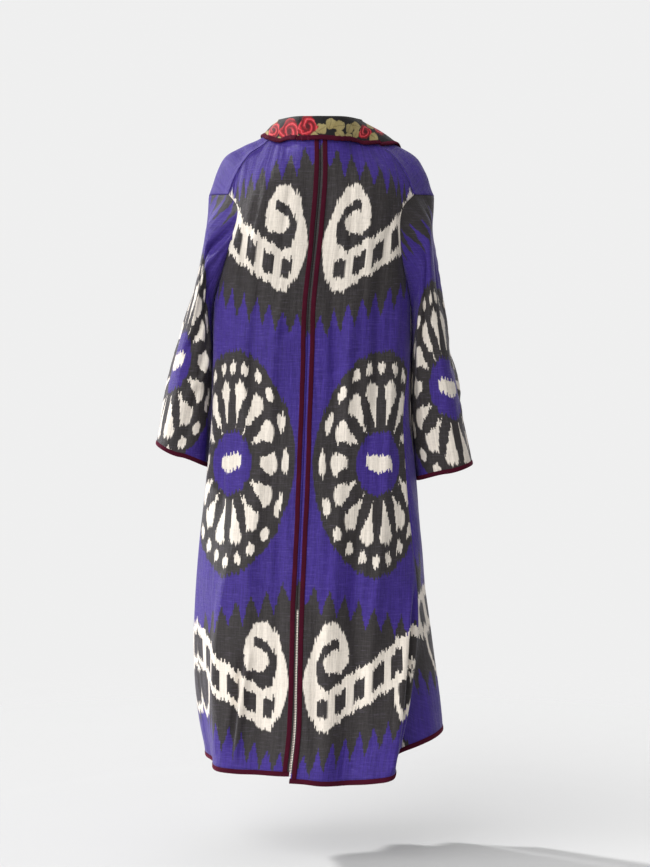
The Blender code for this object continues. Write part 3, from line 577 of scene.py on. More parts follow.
def armhole(side):
    """The armhole's points, from the underarm up the back and down the front, and each one's turn."""
    up_back = back(side, np.ones(ARMHOLE_STEPS + 1), np.linspace(1, 2, ARMHOLE_STEPS + 1))
    down_front = front(side, np.ones(ARMHOLE_STEPS + 1), np.linspace(2, 1, ARMHOLE_STEPS + 1))
    loop = np.concatenate([up_back, down_front[1:]])
    lengths = np.linalg.norm(np.diff(loop, axis=0), axis=1)
    return loop, np.concatenate([[0], np.cumsum(lengths)]) / lengths.sum()


def sleeve_section(side, turn, z):
    """A point of a sleeve's level section: turn 0 is beside the body, 0.25 behind and 0.5 outside."""
    rows = sorted(SLEEVE_SECTIONS[side])
    inner, outer, middle, half = (
        smooth([r.z for r in rows], [getattr(r, name) for r in rows], z)
        for name in ("inner", "outer", "middle_y", "half_depth")
    )
    cosine, sine = (
        np.sign(part) * np.abs(part) ** (2 / SLEEVE_POWER)
        for part in (np.cos(2 * math.pi * turn), np.sin(2 * math.pi * turn))
    )
    x = (inner + outer) / 2 - (outer - inner) / 2 * cosine
    return np.stack([side * x, middle + half * sine, z + 0 * x], axis=-1)


def sleeve(side, turn, t):
    """A sleeve's outer face: t is 0 at the armhole and 1 at the cuff."""
    turn, t = np.broadcast_arrays(np.asarray(turn, float), np.asarray(t, float))
    loop, turns = armhole(side)
    beside_body = (1 + np.cos(2 * math.pi * turn)) / 2
    start = smooth(turns, loop, turn)
    start[..., 0] += side * UNDERARM_CLEAR[side] * beside_body * ease(t / UNDERARM_OPENS)
    end_z = CUFF_OUTER_Z[side] + (CUFF_INNER_Z[side] - CUFF_OUTER_Z[side]) * beside_body
    z = start[..., 2] + (end_z - start[..., 2]) * t
    settled = sleeve_section(side, turn, z)
    held = start - sleeve_section(side, turn, start[..., 2])
    return settled + held * (1 - ease((start[..., 2] - z) / SLEEVE_SETTLES_OVER))[..., None]


def neck_edge(side, share):
    """The edge that the collar is sewn to: round the back of the neck, then down to the lapel's break."""
    behind = back_top(side, np.minimum(share, NECK_TURN) * NECK_SHARE / NECK_TURN)
    down = np.clip((share - NECK_TURN) / (1 - NECK_TURN), 0, PAST_THE_BREAK)
    before = front(side, 0 * share, 2 - (2 - LAPEL_BREAK_V) * down)
    return np.where((share < NECK_TURN)[..., None], behind, before)


def body_tree():
    """The outer faces of the four panels, to rest the collar on."""
    points, faces = [], []
    s = np.linspace(0, 1, REST_COLUMNS)
    v = np.linspace(REST_FROM_V, 2, REST_ROWS)
    grid_s, grid_v = np.meshgrid(s, v, indexing="ij")
    for surface in (back, front):
        for side in (LEFT, RIGHT):
            start = len(points)
            points.extend(Vector(p) for p in surface(side, grid_s, grid_v).reshape(-1, 3))
            turn = 1 if (surface is front) == (side == LEFT) else -1
            for i in range(len(s) - 1):
                for j in range(len(v) - 1):
                    a = start + i * len(v) + j
                    faces.append([a, a + len(v), a + len(v) + 1, a + 1][::turn])
    return BVHTree.FromPolygons(points, faces)


def lifted(tree, points, clear, snap):
    """Points moved out until they clear the panels. Where snap is 1, a point is also drawn in that far."""
    flat = points.reshape(-1, 3)
    moved = []
    for point, hold in zip(flat, np.broadcast_to(snap, points.shape[:-1]).reshape(-1)):
        place, normal, _, _ = tree.find_nearest(Vector(point))
        height = (Vector(point) - place).dot(normal)
        rested = place + normal * clear
        share = 1.0 if height < clear else hold
        moved.append(Vector(point).lerp(rested, share))
    return np.array(moved).reshape(points.shape)


def collar(tree, around, across):
    """The collar's printed face: around from -1 at the right break to 1 at the left, across to its edge."""
    around, across = np.broadcast_arrays(np.asarray(around, float), np.asarray(across, float))
    side = np.where(around < 0, RIGHT, LEFT)
    share = np.abs(around)
    knots = [-COLLAR_STATIONS[1].share] + [station.share for station in COLLAR_STATIONS]

    def along(name):
        values = [np.array(getattr(station, name), float) for station in COLLAR_STATIONS]
        return smooth(knots, [values[1] * MIRROR] + values, share)

    rise = along("rise")
    edge = along("edge")
    more = smooth(knots[1:], [station.right_more for station in COLLAR_STATIONS], share)
    edge[..., 0] += np.where(side == RIGHT, more, 0)
    rise[..., 0] *= side
    edge[..., 0] *= side
    neck = np.where((side > 0)[..., None], neck_edge(LEFT, share), neck_edge(RIGHT, share))
    edge = lifted(tree, edge, LEAF_CLEAR, 1.0)
    up = unit(rise)
    away = edge - neck
    away = unit(away - up * (away * up).sum(axis=-1, keepdims=True))
    start = neck + up * SEAM_GAP
    inner = neck + rise
    crest = inner + away * COLLAR_FOLD + up * COLLAR_FOLD
    outer = inner + away * 2 * COLLAR_FOLD
    middle = (outer + edge) / 2 + up * COLLAR_BULGE
    places = (0.0, STAND_TOP, CREST, LEAF_TOP, LEAF_MIDDLE, 1.0)
    curves = np.stack([start, inner, crest, outer, middle, edge]).reshape(len(places), -1, 3)
    points = smooth(places, curves, across.reshape(-1), own=True).reshape(across.shape + (3,))
    return np.where((across > LEAF_TOP)[..., None], lifted(tree, points, LEAF_CLEAR, 0.0), points)


def unit(vectors):
    return vectors / np.linalg.norm(vectors, axis=-1, keepdims=True)


def pulled_in(points, gaps):
    """Grid points with the outer rows and columns moved in by gaps: first s, last s, first t and last t."""
    points = points.copy()
    for axis in (0, 1):
        lines = np.moveaxis(points, axis, 0)
        for gap, edge, inner in ((gaps[2 * axis], 0, 1), (gaps[2 * axis + 1], -1, -2)):
            lines[edge] += unit(lines[inner] - lines[edge]) * gap
    return points


def lengths_along(points, axis):
    """How far along the grid each point lies from its first row or column."""
    steps = np.linalg.norm(np.diff(points, axis=axis), axis=-1)
    first = np.zeros_like(np.take(steps, [0], axis=axis))
    return np.concatenate([first, np.cumsum(steps, axis=axis)], axis=axis)


def grid_normals(points, flip, tube=False):
    normal = np.cross(np.gradient(points, axis=0), np.gradient(points, axis=1)) * flip
    if tube:
        normal[0] = normal[-1] = normal[0] + normal[-1]
    return unit(normal)


def crease_heights(cloth, creases):
    """How far the creases and a faint ripple carry each place of the cloth out."""
    u, v = cloth[..., 0], cloth[..., 1]
    heights = np.zeros(u.shape)
    for crease in creases:
        run = np.subtract(crease.end, crease.start)
        length = np.linalg.norm(run)
        along = ((u - crease.start[0]) * run[0] + (v - crease.start[1]) * run[1]) / length**2
        aside = ((u - crease.start[0]) * run[1] - (v - crease.start[1]) * run[0]) / length
        inside = np.clip(along, 0, 1)
        x = (aside - crease.bow * 4 * inside * (1 - inside)) / crease.width
        beyond = np.abs(along - inside) * length / (2 * crease.width)
        taper = 1 - np.abs(2 * inside - 1) ** 3 / 2
        heights += crease.height * taper * (1 - CREASE_LEAN * x) * np.exp(-(x**2) - beyond**2)
    broad = np.sin(BROAD_RATE * u + BROAD_BENDS * np.sin(BROAD_BEND_RATE * v))
    ripple = broad + FINE_SHARE * np.sin(FINE_RATE * u - FINE_LEAN * v + FINE_START)
    return heights + RIPPLE * ripple * (RIPPLE_STAYS + RIPPLE_FADES * np.sin(FADE_DOWN * v + FADE_OUT * u))


def held_at_edges(points, tube=False):
    """0 at the seams and edges of a grid and 1 further in, so that creased pieces still meet."""
    held = np.ones(points.shape[:2])
    for axis in (1,) if tube else (0, 1):
        there = lengths_along(points, axis)
        back_again = np.take(there, [-1], axis=axis) - there
        held = held * ease(np.minimum(there, back_again) / EDGE_HELD)
    return held


def fresh(name, bm, materials):
    """A new object of a finished bmesh, at the origin."""
    mesh = bpy.data.meshes.new(name)
    bm.to_mesh(mesh)
    bm.free()
    mesh.shade_smooth()
    for item in materials:
        mesh.materials.append(item)
    made = bpy.data.objects.new(name, mesh)
    bpy.context.scene.collection.objects.link(made)
    return made


def gridded(name, points, cloth, materials, flip=1, tube=False, thickness=None):
    """A sheet whose outer face runs through a grid of points, with its cloth map as its UV map."""
    bm = bmesh.new()
    columns, rows = points.shape[0] - 1, points.shape[1] - 1
    bmesh.ops.create_grid(bm, x_segments=columns, y_segments=rows, size=0.5)
    layer = bm.loops.layers.uv.new("cloth")
    for face in bm.faces:
        for loop in face.loops:
            i = round((loop.vert.co.x + 0.5) * columns)
            j = round((loop.vert.co.y + 0.5) * rows)
            loop[layer].uv = cloth[i, j]
    for vert in bm.verts:
        i = round((vert.co.x + 0.5) * columns)
        j = round((vert.co.y + 0.5) * rows)
        vert.co = Vector(points[i, j])
    if tube:
        bmesh.ops.remove_doubles(bm, verts=bm.verts, dist=MERGED_WITHIN)
    if flip < 0:
        bmesh.ops.reverse_faces(bm, faces=bm.faces)
    made = fresh(name, bm, materials)
    if thickness:
        shell = made.modifiers.new("Wall", "SOLIDIFY")
        shell.thickness = thickness
        shell.offset = -1
        shell.use_even_offset = True
        shell.thickness_clamp = 0
    return made


def steps(pair):
    fine, quick = pair
    return fine


def panel_rows(lower, upper):
    """The rows of a panel, as v from the hem to its top."""
    return np.concatenate([np.linspace(0, 1, steps(lower) + 1), np.linspace(1, 2, steps(upper) + 1)[1:]])


def panel_grid(pairs):
    """The s and v of each point of a panel."""
    columns, lower, upper = pairs
    return np.meshgrid(np.linspace(0, 1, steps(columns) + 1), panel_rows(lower, upper), indexing="ij")


def width_near_edge(panel, side, v):
    """How many metres one unit of s is worth, next to a panel's first edge."""
    step = 0.02
    return np.linalg.norm(panel(side, step + 0 * v, v) - panel(side, 0 * v, v), axis=-1) / step


def build_back(side, materials):
    """A back panel: an evenly stepped grid, mapped outward from the middle seam and down."""
    name = SIDE_NAMES[side]
    s, v = panel_grid(BACK_STEPS)
    points = back(side, s, v)
    cloth = np.stack([side * lengths_along(points, 0), -points[..., 2]], axis=-1)
    normals = grid_normals(points, -side)
    heights = crease_heights(cloth, BACK_CREASES[side]) * held_at_edges(points)
    points = points + normals * heights[..., None]
    if side == LEFT:
        points[0] -= normals[0] * VENT_TUCK
    middle = -VENT_LAP if side == LEFT else SEAM_GAP / 2
    points = pulled_in(points, (middle, SEAM_GAP / 2, SEAM_GAP / 2, SEAM_GAP))
    return gridded(f"back_panel_{name}", points, cloth, materials, -side, thickness=CLOTH_THICKNESS)


def build_front(side, materials):
    """A front panel, mapped outward from its front edge and down from the top of the shoulder."""
    name = SIDE_NAMES[side]
    s, v = panel_grid(FRONT_STEPS)
    points = front(side, s, v)
    down = -lengths_along(points, 1)
    ridge = np.argmin(np.abs(v[0] - SHOULDER_TOP_V))
    down = down - down[:, ridge : ridge + 1]
    drop = np.maximum(-points[:, ridge : ridge + 1, 2], 0)
    down = down + drop * ease(down / SHOULDER_DROP_OVER)
    cloth = np.stack([side * lengths_along(points, 0), down], axis=-1)
    normals = grid_normals(points, side)
    heights = crease_heights(cloth, FRONT_CREASES[side]) * held_at_edges(points)
    lap = ease((v - SEAM_LAP_V) / (2 - SEAM_LAP_V)) * SEAM_LAP_HEIGHT
    points = points + normals * (heights + lap)[..., None]
    points = pulled_in(points, (SEAM_GAP / 2, SEAM_GAP / 2, SEAM_GAP / 2, 0))
    return gridded(f"front_panel_{name}", points, cloth, materials, side, thickness=CLOTH_THICKNESS)


def build_sleeve(side, materials):
    """A sleeve, mapped around from the middle of its pattern and down from the shoulder's seam."""
    name = SIDE_NAMES[side]
    columns, rows = (steps(pair) for pair in SLEEVE_STEPS)
    turns = np.linspace(0, 1, columns + 1)
    turn, t = np.meshgrid(turns, np.linspace(0, 1, rows + 1), indexing="ij")
    points = sleeve(side, np.where(turn == 1, 0, turn), t)
    around = lengths_along(points, 0)
    middle = np.stack([np.interp(PATTERN_TURN[side], turns, around[:, j]) for j in range(rows + 1)])
    level = np.interp(PATTERN_TURN[side], turns, points[:, 0, 2])
    own = np.stack([around - middle, (level - points[..., 2]) * SLEEVE_SLOPE], axis=-1)
    normals = grid_normals(points, side, tube=True)
    creases = crease_heights(own, SLEEVE_CREASES[side])
    seamless = ease(np.minimum(turn, 1 - turn) / SEAM_HELD_TURN)
    points = points + normals * (creases * held_at_edges(points, tube=True) * seamless)[..., None]
    points = pulled_in(points, (0, 0, -SLEEVE_TUCK, SEAM_GAP))
    points[:, 0] -= normals[:, 0] * SLEEVE_TUCK
    cloth = own + (MEDALLION_U, SLEEVE_PATTERN_STARTS[side])
    return gridded(
        f"sleeve_cloth_{name}", points, cloth, materials, side, tube=True, thickness=CLOTH_THICKNESS
    )


def rolled(name, line, across, up, half_width, half_height, materials, sides, closed=False, grip=1.0):
    """A soft velvet strip: a rounded outline carried along a line, wide along across and high along up."""
    count = len(line)
    bm = bmesh.new()
    bmesh.ops.create_grid(bm, x_segments=count - 1, y_segments=sides, size=0.5)
    layer = bm.loops.layers.uv.new("cloth")
    far = lengths_along(line, 0)
    for face in bm.faces:
        for loop in face.loops:
            i = round((loop.vert.co.x + 0.5) * (count - 1))
            loop[layer].uv = (far[i], (loop.vert.co.y + 0.5) * 2 * math.pi * half_width)
    for vert in bm.verts:
        i = round((vert.co.x + 0.5) * (count - 1))
        turn = 2 * math.pi * (vert.co.y + 0.5)
        cosine, sine = math.cos(turn), math.sin(turn)
        wide = math.copysign(abs(cosine) ** ROLL_POWER, cosine) * half_width
        high = math.copysign(abs(sine) ** ROLL_POWER, sine) * half_height
        high *= 1 if sine > 0 else grip
        vert.co = Vector(line[i] + across[i] * wide + up[i] * high)
    bmesh.ops.remove_doubles(bm, verts=bm.verts, dist=MERGED_WITHIN)
    if not closed:
        bmesh.ops.holes_fill(bm, edges=bm.edges, sides=sides + 2)
    bmesh.ops.recalc_face_normals(bm, faces=bm.faces)
    return fresh(name, bm, materials)


def strip_frame(inner, outer, flip):
    """The line midway between two edges of a strip, its direction across and its outward direction."""
    line = (inner + outer) / 2
    across = unit(outer - inner)
    up = unit(np.cross(np.gradient(line, axis=0), across) * flip)
    return line, across, up


def wavered(line, across):
    """A line that wanders a little aside, as a hand-sewn strip does."""
    far = lengths_along(line, 0)
    aside = sum(size * np.sin(rate * far + start) for rate, size, start in WANDER_WAVES)
    return line + across * (WANDER * aside)[:, None]


def build_back_tape(side, materials):
    """The velvet tape beside the seam of the back, from the neck to the hem."""
    rows = panel_rows(*TAPE_STEPS)
    width = width_near_edge(back, side, rows)
    edges = [back(side, (TAPE_FROM_SEAM + far) / width, rows) for far in (0, TAPE_WIDTH)]
    line, across, up = strip_frame(edges[0], edges[1], side)
    line = wavered(line + up * TAPE_LIFT, across)
    return rolled(
        f"back_velvet_{SIDE_NAMES[side]}", line, across, up,
        TAPE_WIDTH / 2, TAPE_ROUND, materials, TAPE_SIDES, grip=TAPE_GRIP,
    )


def build_front_binding(side, materials):
    """The velvet over the front edge, from the hem up to the lapel."""
    rows = np.linspace(0, FRONT_BINDING_TOP_V, steps(BINDING_STEPS))
    width = width_near_edge(front, side, rows)
    inner = front(side, BINDING_LAP / width, rows)
    outer = front(side, -BINDING_WIDTH / width, rows)
    line, across, up = strip_frame(inner, outer, side)
    line = wavered(line - up * WALL / 2, across)
    return rolled(
        f"front_velvet_{SIDE_NAMES[side]}", line, across, up,
        (BINDING_WIDTH + BINDING_LAP) / 2, BINDING_ROUND, materials, BINDING_SIDES,
    )


def build_hem_binding(side, materials):
    """The velvet over the hem, from the vent round the side to the front edge."""
    depth = ARMPIT_Z - HEM_Z
    halves = []
    count = steps(BINDING_STEPS)
    for surface, s in ((back, np.linspace(0, 1, count)), (front, np.linspace(1, 0, count)[1:])):
        halves.append([surface(side, s, far / depth + 0 * s) for far in (BINDING_LAP, -BINDING_WIDTH)])
    inner, outer = (np.concatenate([halves[0][k], halves[1][k]]) for k in (0, 1))
    line, across, up = strip_frame(inner, outer, side)
    line = wavered(line - up * WALL / 2, across)
    return rolled(
        f"hem_velvet_{SIDE_NAMES[side]}", line, across, up,
        (BINDING_WIDTH + BINDING_LAP) / 2, BINDING_ROUND, materials, BINDING_SIDES,
    )


def build_cuff_binding(side, materials):
    """The velvet round a cuff."""
    turns = np.linspace(0, 1, steps(CUFF_STEPS) + 1)
    turns[-1] = 0
    step = 0.1
    lengths = np.linalg.norm(sleeve(side, turns, 1) - sleeve(side, turns, 1 - step), axis=-1) / step
    inner = sleeve(side, turns, 1 - BINDING_LAP / lengths)
    outer = sleeve(side, turns, 1 + CUFF_BINDING_WIDTH / lengths)
    line, across, up = strip_frame(inner, outer, side)
    for direction in (across, up):
        direction[0] = direction[-1] = unit(direction[0] + direction[-1])
    return rolled(
        f"cuff_velvet_{SIDE_NAMES[side]}", line - up * WALL / 2, across, up,
        (CUFF_BINDING_WIDTH + BINDING_LAP) / 2, BINDING_ROUND, materials, BINDING_SIDES, closed=True,
    )


def build_collar(materials):
    """The collar's folded leaf in its printed cloth, mapped along its neck edge and across."""
    tree = body_tree()
    columns, rows = (steps(pair) for pair in COLLAR_STEPS)
    around, across = np.meshgrid(np.linspace(-1, 1, columns + 1), np.linspace(0, 1, rows + 1), indexing="ij")
    points = collar(tree, around, across)
    along = lengths_along(points, 0)
    along = along - along[columns // 2]
    deep = lengths_along(points, 1)
    cloth = np.stack([along, deep], axis=-1)
    normals = grid_normals(points, 1)
    swell = ease(across * (1 - across) * LEAF_SWELL) * (across > CREST)
    swell = crease_heights(cloth, COLLAR_CREASES) * swell
    points = pulled_in(points + normals * swell[..., None], (0, 0, 0, SEAM_GAP))
    leaf = gridded("collar_leaf", points, cloth, materials[:1], thickness=CLOTH_THICKNESS)
    rim = points[:, -1]
    away = unit(points[:, -1] - points[:, -2])
    outer = lifted(tree, rim + away * COLLAR_BINDING_WIDTH, BINDING_LEAF_CLEAR, 0.0)
    line, over, up = strip_frame(rim - away * BINDING_LAP, outer, 1)
    edge = rolled(
        "collar_velvet", line - up * WALL / 2, over, up,
        (COLLAR_BINDING_WIDTH + BINDING_LAP) / 2, BINDING_ROUND, materials[1:], BINDING_SIDES,
    )
    return leaf, edge


class Sock:
    """A socket of a material's nodes. Arithmetic on it adds Math nodes."""

    def __init__(self, nodes, socket):
        self.nodes, self.socket = nodes, socket

    def math(self, operation, *values, clamp=False):
        return self.nodes.math(operation, self, *values, clamp=clamp)

    def __add__(self, other):
        return self.math("ADD", other)

    def __sub__(self, other):
        return self.math("SUBTRACT", other)

    def __rsub__(self, other):
        return self.nodes.math("SUBTRACT", other, self)

    def __mul__(self, other):
        return self.math("MULTIPLY", other)

    def __truediv__(self, other):
        return self.math("DIVIDE", other)

    def __pow__(self, other):
        return self.math("POWER", other)

    def __neg__(self):
        return self.math("MULTIPLY", -1)

    def __abs__(self):
        return self.math("ABSOLUTE")

    __radd__ = __add__
    __rmul__ = __mul__

    def clamped(self):
        return self.math("ADD", 0, clamp=True)

    def least(self, *others):
        found = self
        for other in others:
            found = found.math("MINIMUM", other)
        return found

    def most(self, *others):
        found = self
        for other in others:
            found = found.math("MAXIMUM", other)
        return found

    def mask(self, softness):
        """1 where the value is above 0 and 0 below, with a soft edge."""
        return self.math("MULTIPLY_ADD", 0.5 / softness, 0.5, clamp=True)


class Finish:
    """A material in the making. Every node but arithmetic comes from its node method."""

    def __init__(self, name):
        self.material = bpy.data.materials.new(name)
        self.material.use_nodes = True
        self.tree = self.material.node_tree
        self.shader = self.tree.nodes["Principled BSDF"]
        self.output = self.tree.nodes["Material Output"]

    def node(self, kind, settings=None, inputs=None, output=0):
        made = self.tree.nodes.new(kind)
        for key, value in (settings or {}).items():
            setattr(made, key, value)
        for key, value in (inputs or {}).items():
            self.feed(made.inputs[key], value)
        return Sock(self, made.outputs[output])

    def feed(self, socket, value):
        if isinstance(value, Sock):
            self.tree.links.new(value.socket, socket)
        else:
            socket.default_value = value

    def math(self, operation, *values, clamp=False):
        settings = {"operation": operation, "use_clamp": clamp}
        return self.node("ShaderNodeMath", settings, dict(enumerate(values)))

    def mix(self, share, first, second, blend="MIX"):
        """A colour between two, or with another blend of them."""
        made = self.tree.nodes.new("ShaderNodeMix")
        made.data_type = "RGBA"
        made.blend_type = blend
        for socket, value in ((made.inputs[0], share), (made.inputs[6], first), (made.inputs[7], second)):
            self.feed(socket, value if isinstance(value, (Sock, float, int)) else (*value, 1))
        return Sock(self, made.outputs[2])

    def cloth_map(self):
        """The cloth's own two coordinates."""
        uv = self.node("ShaderNodeUVMap", {"uv_map": "cloth"})
        return self.parts(uv)

    def parts(self, vector):
        made = self.tree.nodes.new("ShaderNodeSeparateXYZ")
        self.feed(made.inputs[0], vector)
        return [Sock(self, output) for output in made.outputs]

    def place(self, x, y, z=0.0):
        return self.node("ShaderNodeCombineXYZ", inputs={"X": x, "Y": y, "Z": z})

    def noise(self, vector, scale, detail=2.0, rough=0.5):
        inputs = {"Vector": vector, "Scale": scale, "Detail": detail, "Roughness": rough}
        return self.node("ShaderNodeTexNoise", {"noise_dimensions": "2D"}, inputs)

    def grain(self, u, v, grain):
        """Noise that is stretched along or across the threads."""
        return self.noise(self.place(u * grain.across, v * grain.down), 1.0, grain.detail, grain.rough)

    def chance(self, number):
        """A fixed random value from 0 to 1 for a whole number."""
        return self.node("ShaderNodeTexWhiteNoise", {"noise_dimensions": "1D"}, {"W": number})

    def set(self, **sockets):
        for name, value in sockets.items():
            self.feed(self.shader.inputs[name.replace("_", " ")], value)

    def bump(self, height, distance, strength=1.0):
        inputs = {"Height": height, "Distance": distance, "Strength": strength}
        self.set(Normal=self.node("ShaderNodeBump", inputs=inputs))


# The ikat pattern, in metres: u runs out from a panel's seam and w down from the pattern's own line. An oval
# is given by its middle, its half width and height, and how deep it is taken to be.
Oval = namedtuple("Oval", "u w half_wide half_high deep")
PATTERN_LINE, PATTERN_TOP = 0.236, 0.032
PATTERN_START, PATTERN_REPEAT = -0.205, 0.688
PATTERN_FOLD, MEDALLION_FOLD = 0.262, 0.32
MEDALLION_W = 0.456
WIDE_BUNDLES, WIDE_BUNDLES_START = 2.6, 0.3
DRIFT_DOWN, DRIFT_OUT = 0.012, 0.004

# The charcoal band behind the horns has a slanting top and foot, each with steep points.
BAND_TOP, BAND_TOP_SLOPE = 0.179, 0.355
BAND_FOOT, BAND_FOOT_SLOPE = 0.1845, 0.385
TOP_POINTS_U, TOP_POINT_HALF = 0.033, 0.01575
FOOT_POINTS_U, FOOT_POINT_HALF = 0.052, 0.0144
POINT_HEIGHT, POINT_VARIES, POINT_RATE = 0.040, 0.026, 31.0

# The horn is an egg with a hole, a tongue in the hole and a mouth. Its upper end leans out.
EGG = Oval(0.0615, -0.0070, 0.0482, 0.1090, 0.047)
HOLE = Oval(0.0750, -0.0294, 0.0375, 0.0512, 0.040)
TONGUE = Oval(0.0830, -0.0360, 0.0265, 0.0235, 0.024)
LEANS_ABOVE, LEANS_OVER = 0.010, 0.072
EGG_LEAN, EGG_NARROWS, HOLE_LEAN = 0.0090, 0.0042, 0.0060
HOLE_END_U, MOUTH_U, MOUTH_W = 0.0888, 0.0700, -0.0460

# The ladder beside the horn has two sloping rails, with charcoal cells between its rungs.
LADDER_TOP, LADDER_TOP_SLOPE = 0.0685, 0.673
LADDER_FOOT, LADDER_FOOT_SLOPE = 0.1400, 0.608
LADDER_U, FULL_CELLS_U, FIRST_CELL_U = 0.0640, 0.0740, 0.0400
CELLS_U, CELL_STEP, CELL_HALF = 0.0545, 0.0196, 0.0119
TOP_RAIL, FOOT_RAIL, EGG_RIM, FIRST_CELL_DROPS = 0.0215, 0.0175, 0.0110, 0.8
CURL = Oval(0.2390, 0.0280, 0.0330, 0.0640, 0.033)
CURL_WIDE, CURL_W = 0.0085, -0.0100

# The medallion: a ground, dots round its rim, petals round its eye, and a dash in the eye. Reach counts from
# 0 at the middle to 1 at the rim, and turns are in shares of a dot or petal.
MEDALLION_WIDE, MEDALLION_HIGH, MEDALLION_DEEP = 0.1410, 0.2320, 0.14
MEDALLION_POWER, MEDALLION_ROOT = 1.8, 0.5556
DOTS, DOTS_GATHER = 20, 0.175
DOT_REACH, DOT_HALF_REACH, DOT_HALF_TURN, DOT_DEEP = 0.855, 0.052, 0.27, 0.010
PETALS, PETAL_DEEP, PETAL_END_DEEP = 14, 0.10, 0.8
PETAL_FROM, PETAL_WIDENS_OVER, PETAL_HALF_TURN = 0.320, 0.37, 0.38
PETAL_END, PETAL_ROUND = 0.735, 0.5
PETAL_START, PETAL_START_LEVEL, PETAL_LEAST_REACH = 0.310, 0.18, 0.1
EYE_WIDE, EYE_HIGH, EYE_DEEP = 0.0500, 0.0640, 0.05
DASH_WIDE, DASH_HIGH, DASH_DEEP, DASH_SLOPE, DASH_END = 0.0340, 0.0170, 0.020, 0.12, 0.0290


def square(value):
    return value * value


def oval(x, y, half_wide, half_high):
    """How far inside an ellipse a place is: above 0 inside, at most 1."""
    return 1 - (square(x / half_wide) + square(y / half_high)) ** 0.5


def inside(shape, u, w, narrows=0.0):
    """How far inside an oval of the pattern a place is, in metres."""
    return oval(u - shape.u, w - shape.w, shape.half_wide - narrows, shape.half_high) * shape.deep


def horn(u, w):
    """The ivory horn with its ladder, and the curl beside it: how far inside them a place is, in metres."""
    upper = ((LEANS_ABOVE - w) / LEANS_OVER).clamped()
    egg = inside(EGG, u - upper * EGG_LEAN, w, upper * EGG_NARROWS)
    hole = inside(HOLE, u - upper * HOLE_LEAN, w).least(HOLE_END_U - u)
    tongue = inside(TONGUE, u, w)
    top = w + u * LADDER_TOP_SLOPE - LADDER_TOP
    foot = LADDER_FOOT - u * LADDER_FOOT_SLOPE - w
    mouth = (w - MOUTH_W).least(u - MOUTH_U, -top)
    ring = egg.least(-hole, -mouth)
    ladder = top.least(foot, egg.most(u - LADDER_U))
    from_cell = (u - CELLS_U).math("PINGPONG", CELL_STEP)
    first = (FULL_CELLS_U - u).clamped() * FIRST_CELL_DROPS
    past_egg = (egg - EGG_RIM).most(u - FULL_CELLS_U)
    between_rails = (top - TOP_RAIL + first).least(foot - FOOT_RAIL)
    cell = (CELL_HALF - from_cell).least(between_rails, past_egg, u - FIRST_CELL_U)
    far = inside(CURL, u, w)
    curl = far.least(CURL_WIDE - far, w - CURL_W)
    return ring.most(tongue, ladder).least(-cell), curl


def medallion(u, w):
    """The medallion around u 0, w 0: how far a place is inside its ground, its ivory figures and its eye."""
    across, down = u / MEDALLION_WIDE, w / MEDALLION_HIGH
    reach = (square(across) + square(down)) ** 0.5
    turn = down.math("ARCTAN2", across)
    edge = (abs(across) ** MEDALLION_POWER + abs(down) ** MEDALLION_POWER) ** MEDALLION_ROOT
    dot_turn = (turn - (turn * 2).math("SINE") * DOTS_GATHER) * (DOTS / (2 * math.pi))
    from_dot = dot_turn.math("PINGPONG", 0.5)
    dots = oval(reach - DOT_REACH, from_dot, DOT_HALF_REACH, DOT_HALF_TURN) * DOT_DEEP
    from_petal = (turn * (PETALS / (2 * math.pi))).math("PINGPONG", 0.5)
    wide = ((reach - PETAL_FROM) / PETAL_WIDENS_OVER).clamped() * PETAL_HALF_TURN
    level = square(square(across / reach.most(PETAL_LEAST_REACH)))
    start = reach - PETAL_START - square(level) * PETAL_START_LEVEL
    petals = (PETAL_END - square(from_petal) * PETAL_ROUND - reach).least(start) * PETAL_END_DEEP
    petals = petals.least(wide - from_petal) * PETAL_DEEP
    eye = oval(u, w, EYE_WIDE, EYE_HIGH) * EYE_DEEP
    dash = oval(u, w - u * DASH_SLOPE, DASH_WIDE, DASH_HIGH) * DASH_DEEP
    return (1 - edge) * MEDALLION_DEEP, dots.most(petals, dash.least(DASH_END - abs(u))), eye


# Noise of the cloth's surfaces: how fast it changes across and down, in steps to a metre, and its detail
Grain = namedtuple("Grain", "across down detail rough")
DRIFT = Grain(22, 7, 2.0, 0.5)
WEFT_FIBRE, WARP_FIBRE = Grain(90, 1400, 3.0, 0.6), Grain(1500, 34, 3.0, 0.6)
SLUB, STRIPE = Grain(26, 360, 3.0, 0.7), Grain(380, 16, 3.0, 0.7)
FADED, CRUMPLE, FOLDS_OF_WEAR = Grain(5, 5, 3.0, 0.55), Grain(75, 18, 4.0, 0.6), Grain(26, 4, 2.0, 0.5)
PILE, BRUSHED = Grain(900, 900, 3.0, 0.65), Grain(26, 90, 3.0, 0.6)
WEFT_PITCH, WARP_PITCH = 0.0011, 0.0013
IKAT_RELIEF, VELVET_RELIEF, PRINT_RELIEF = 0.00022, 0.00045, 0.0002
SELVAGE_HALF, SELVAGE_RATE, SELVAGE_SOFT = 0.0022, 1900, 0.0003

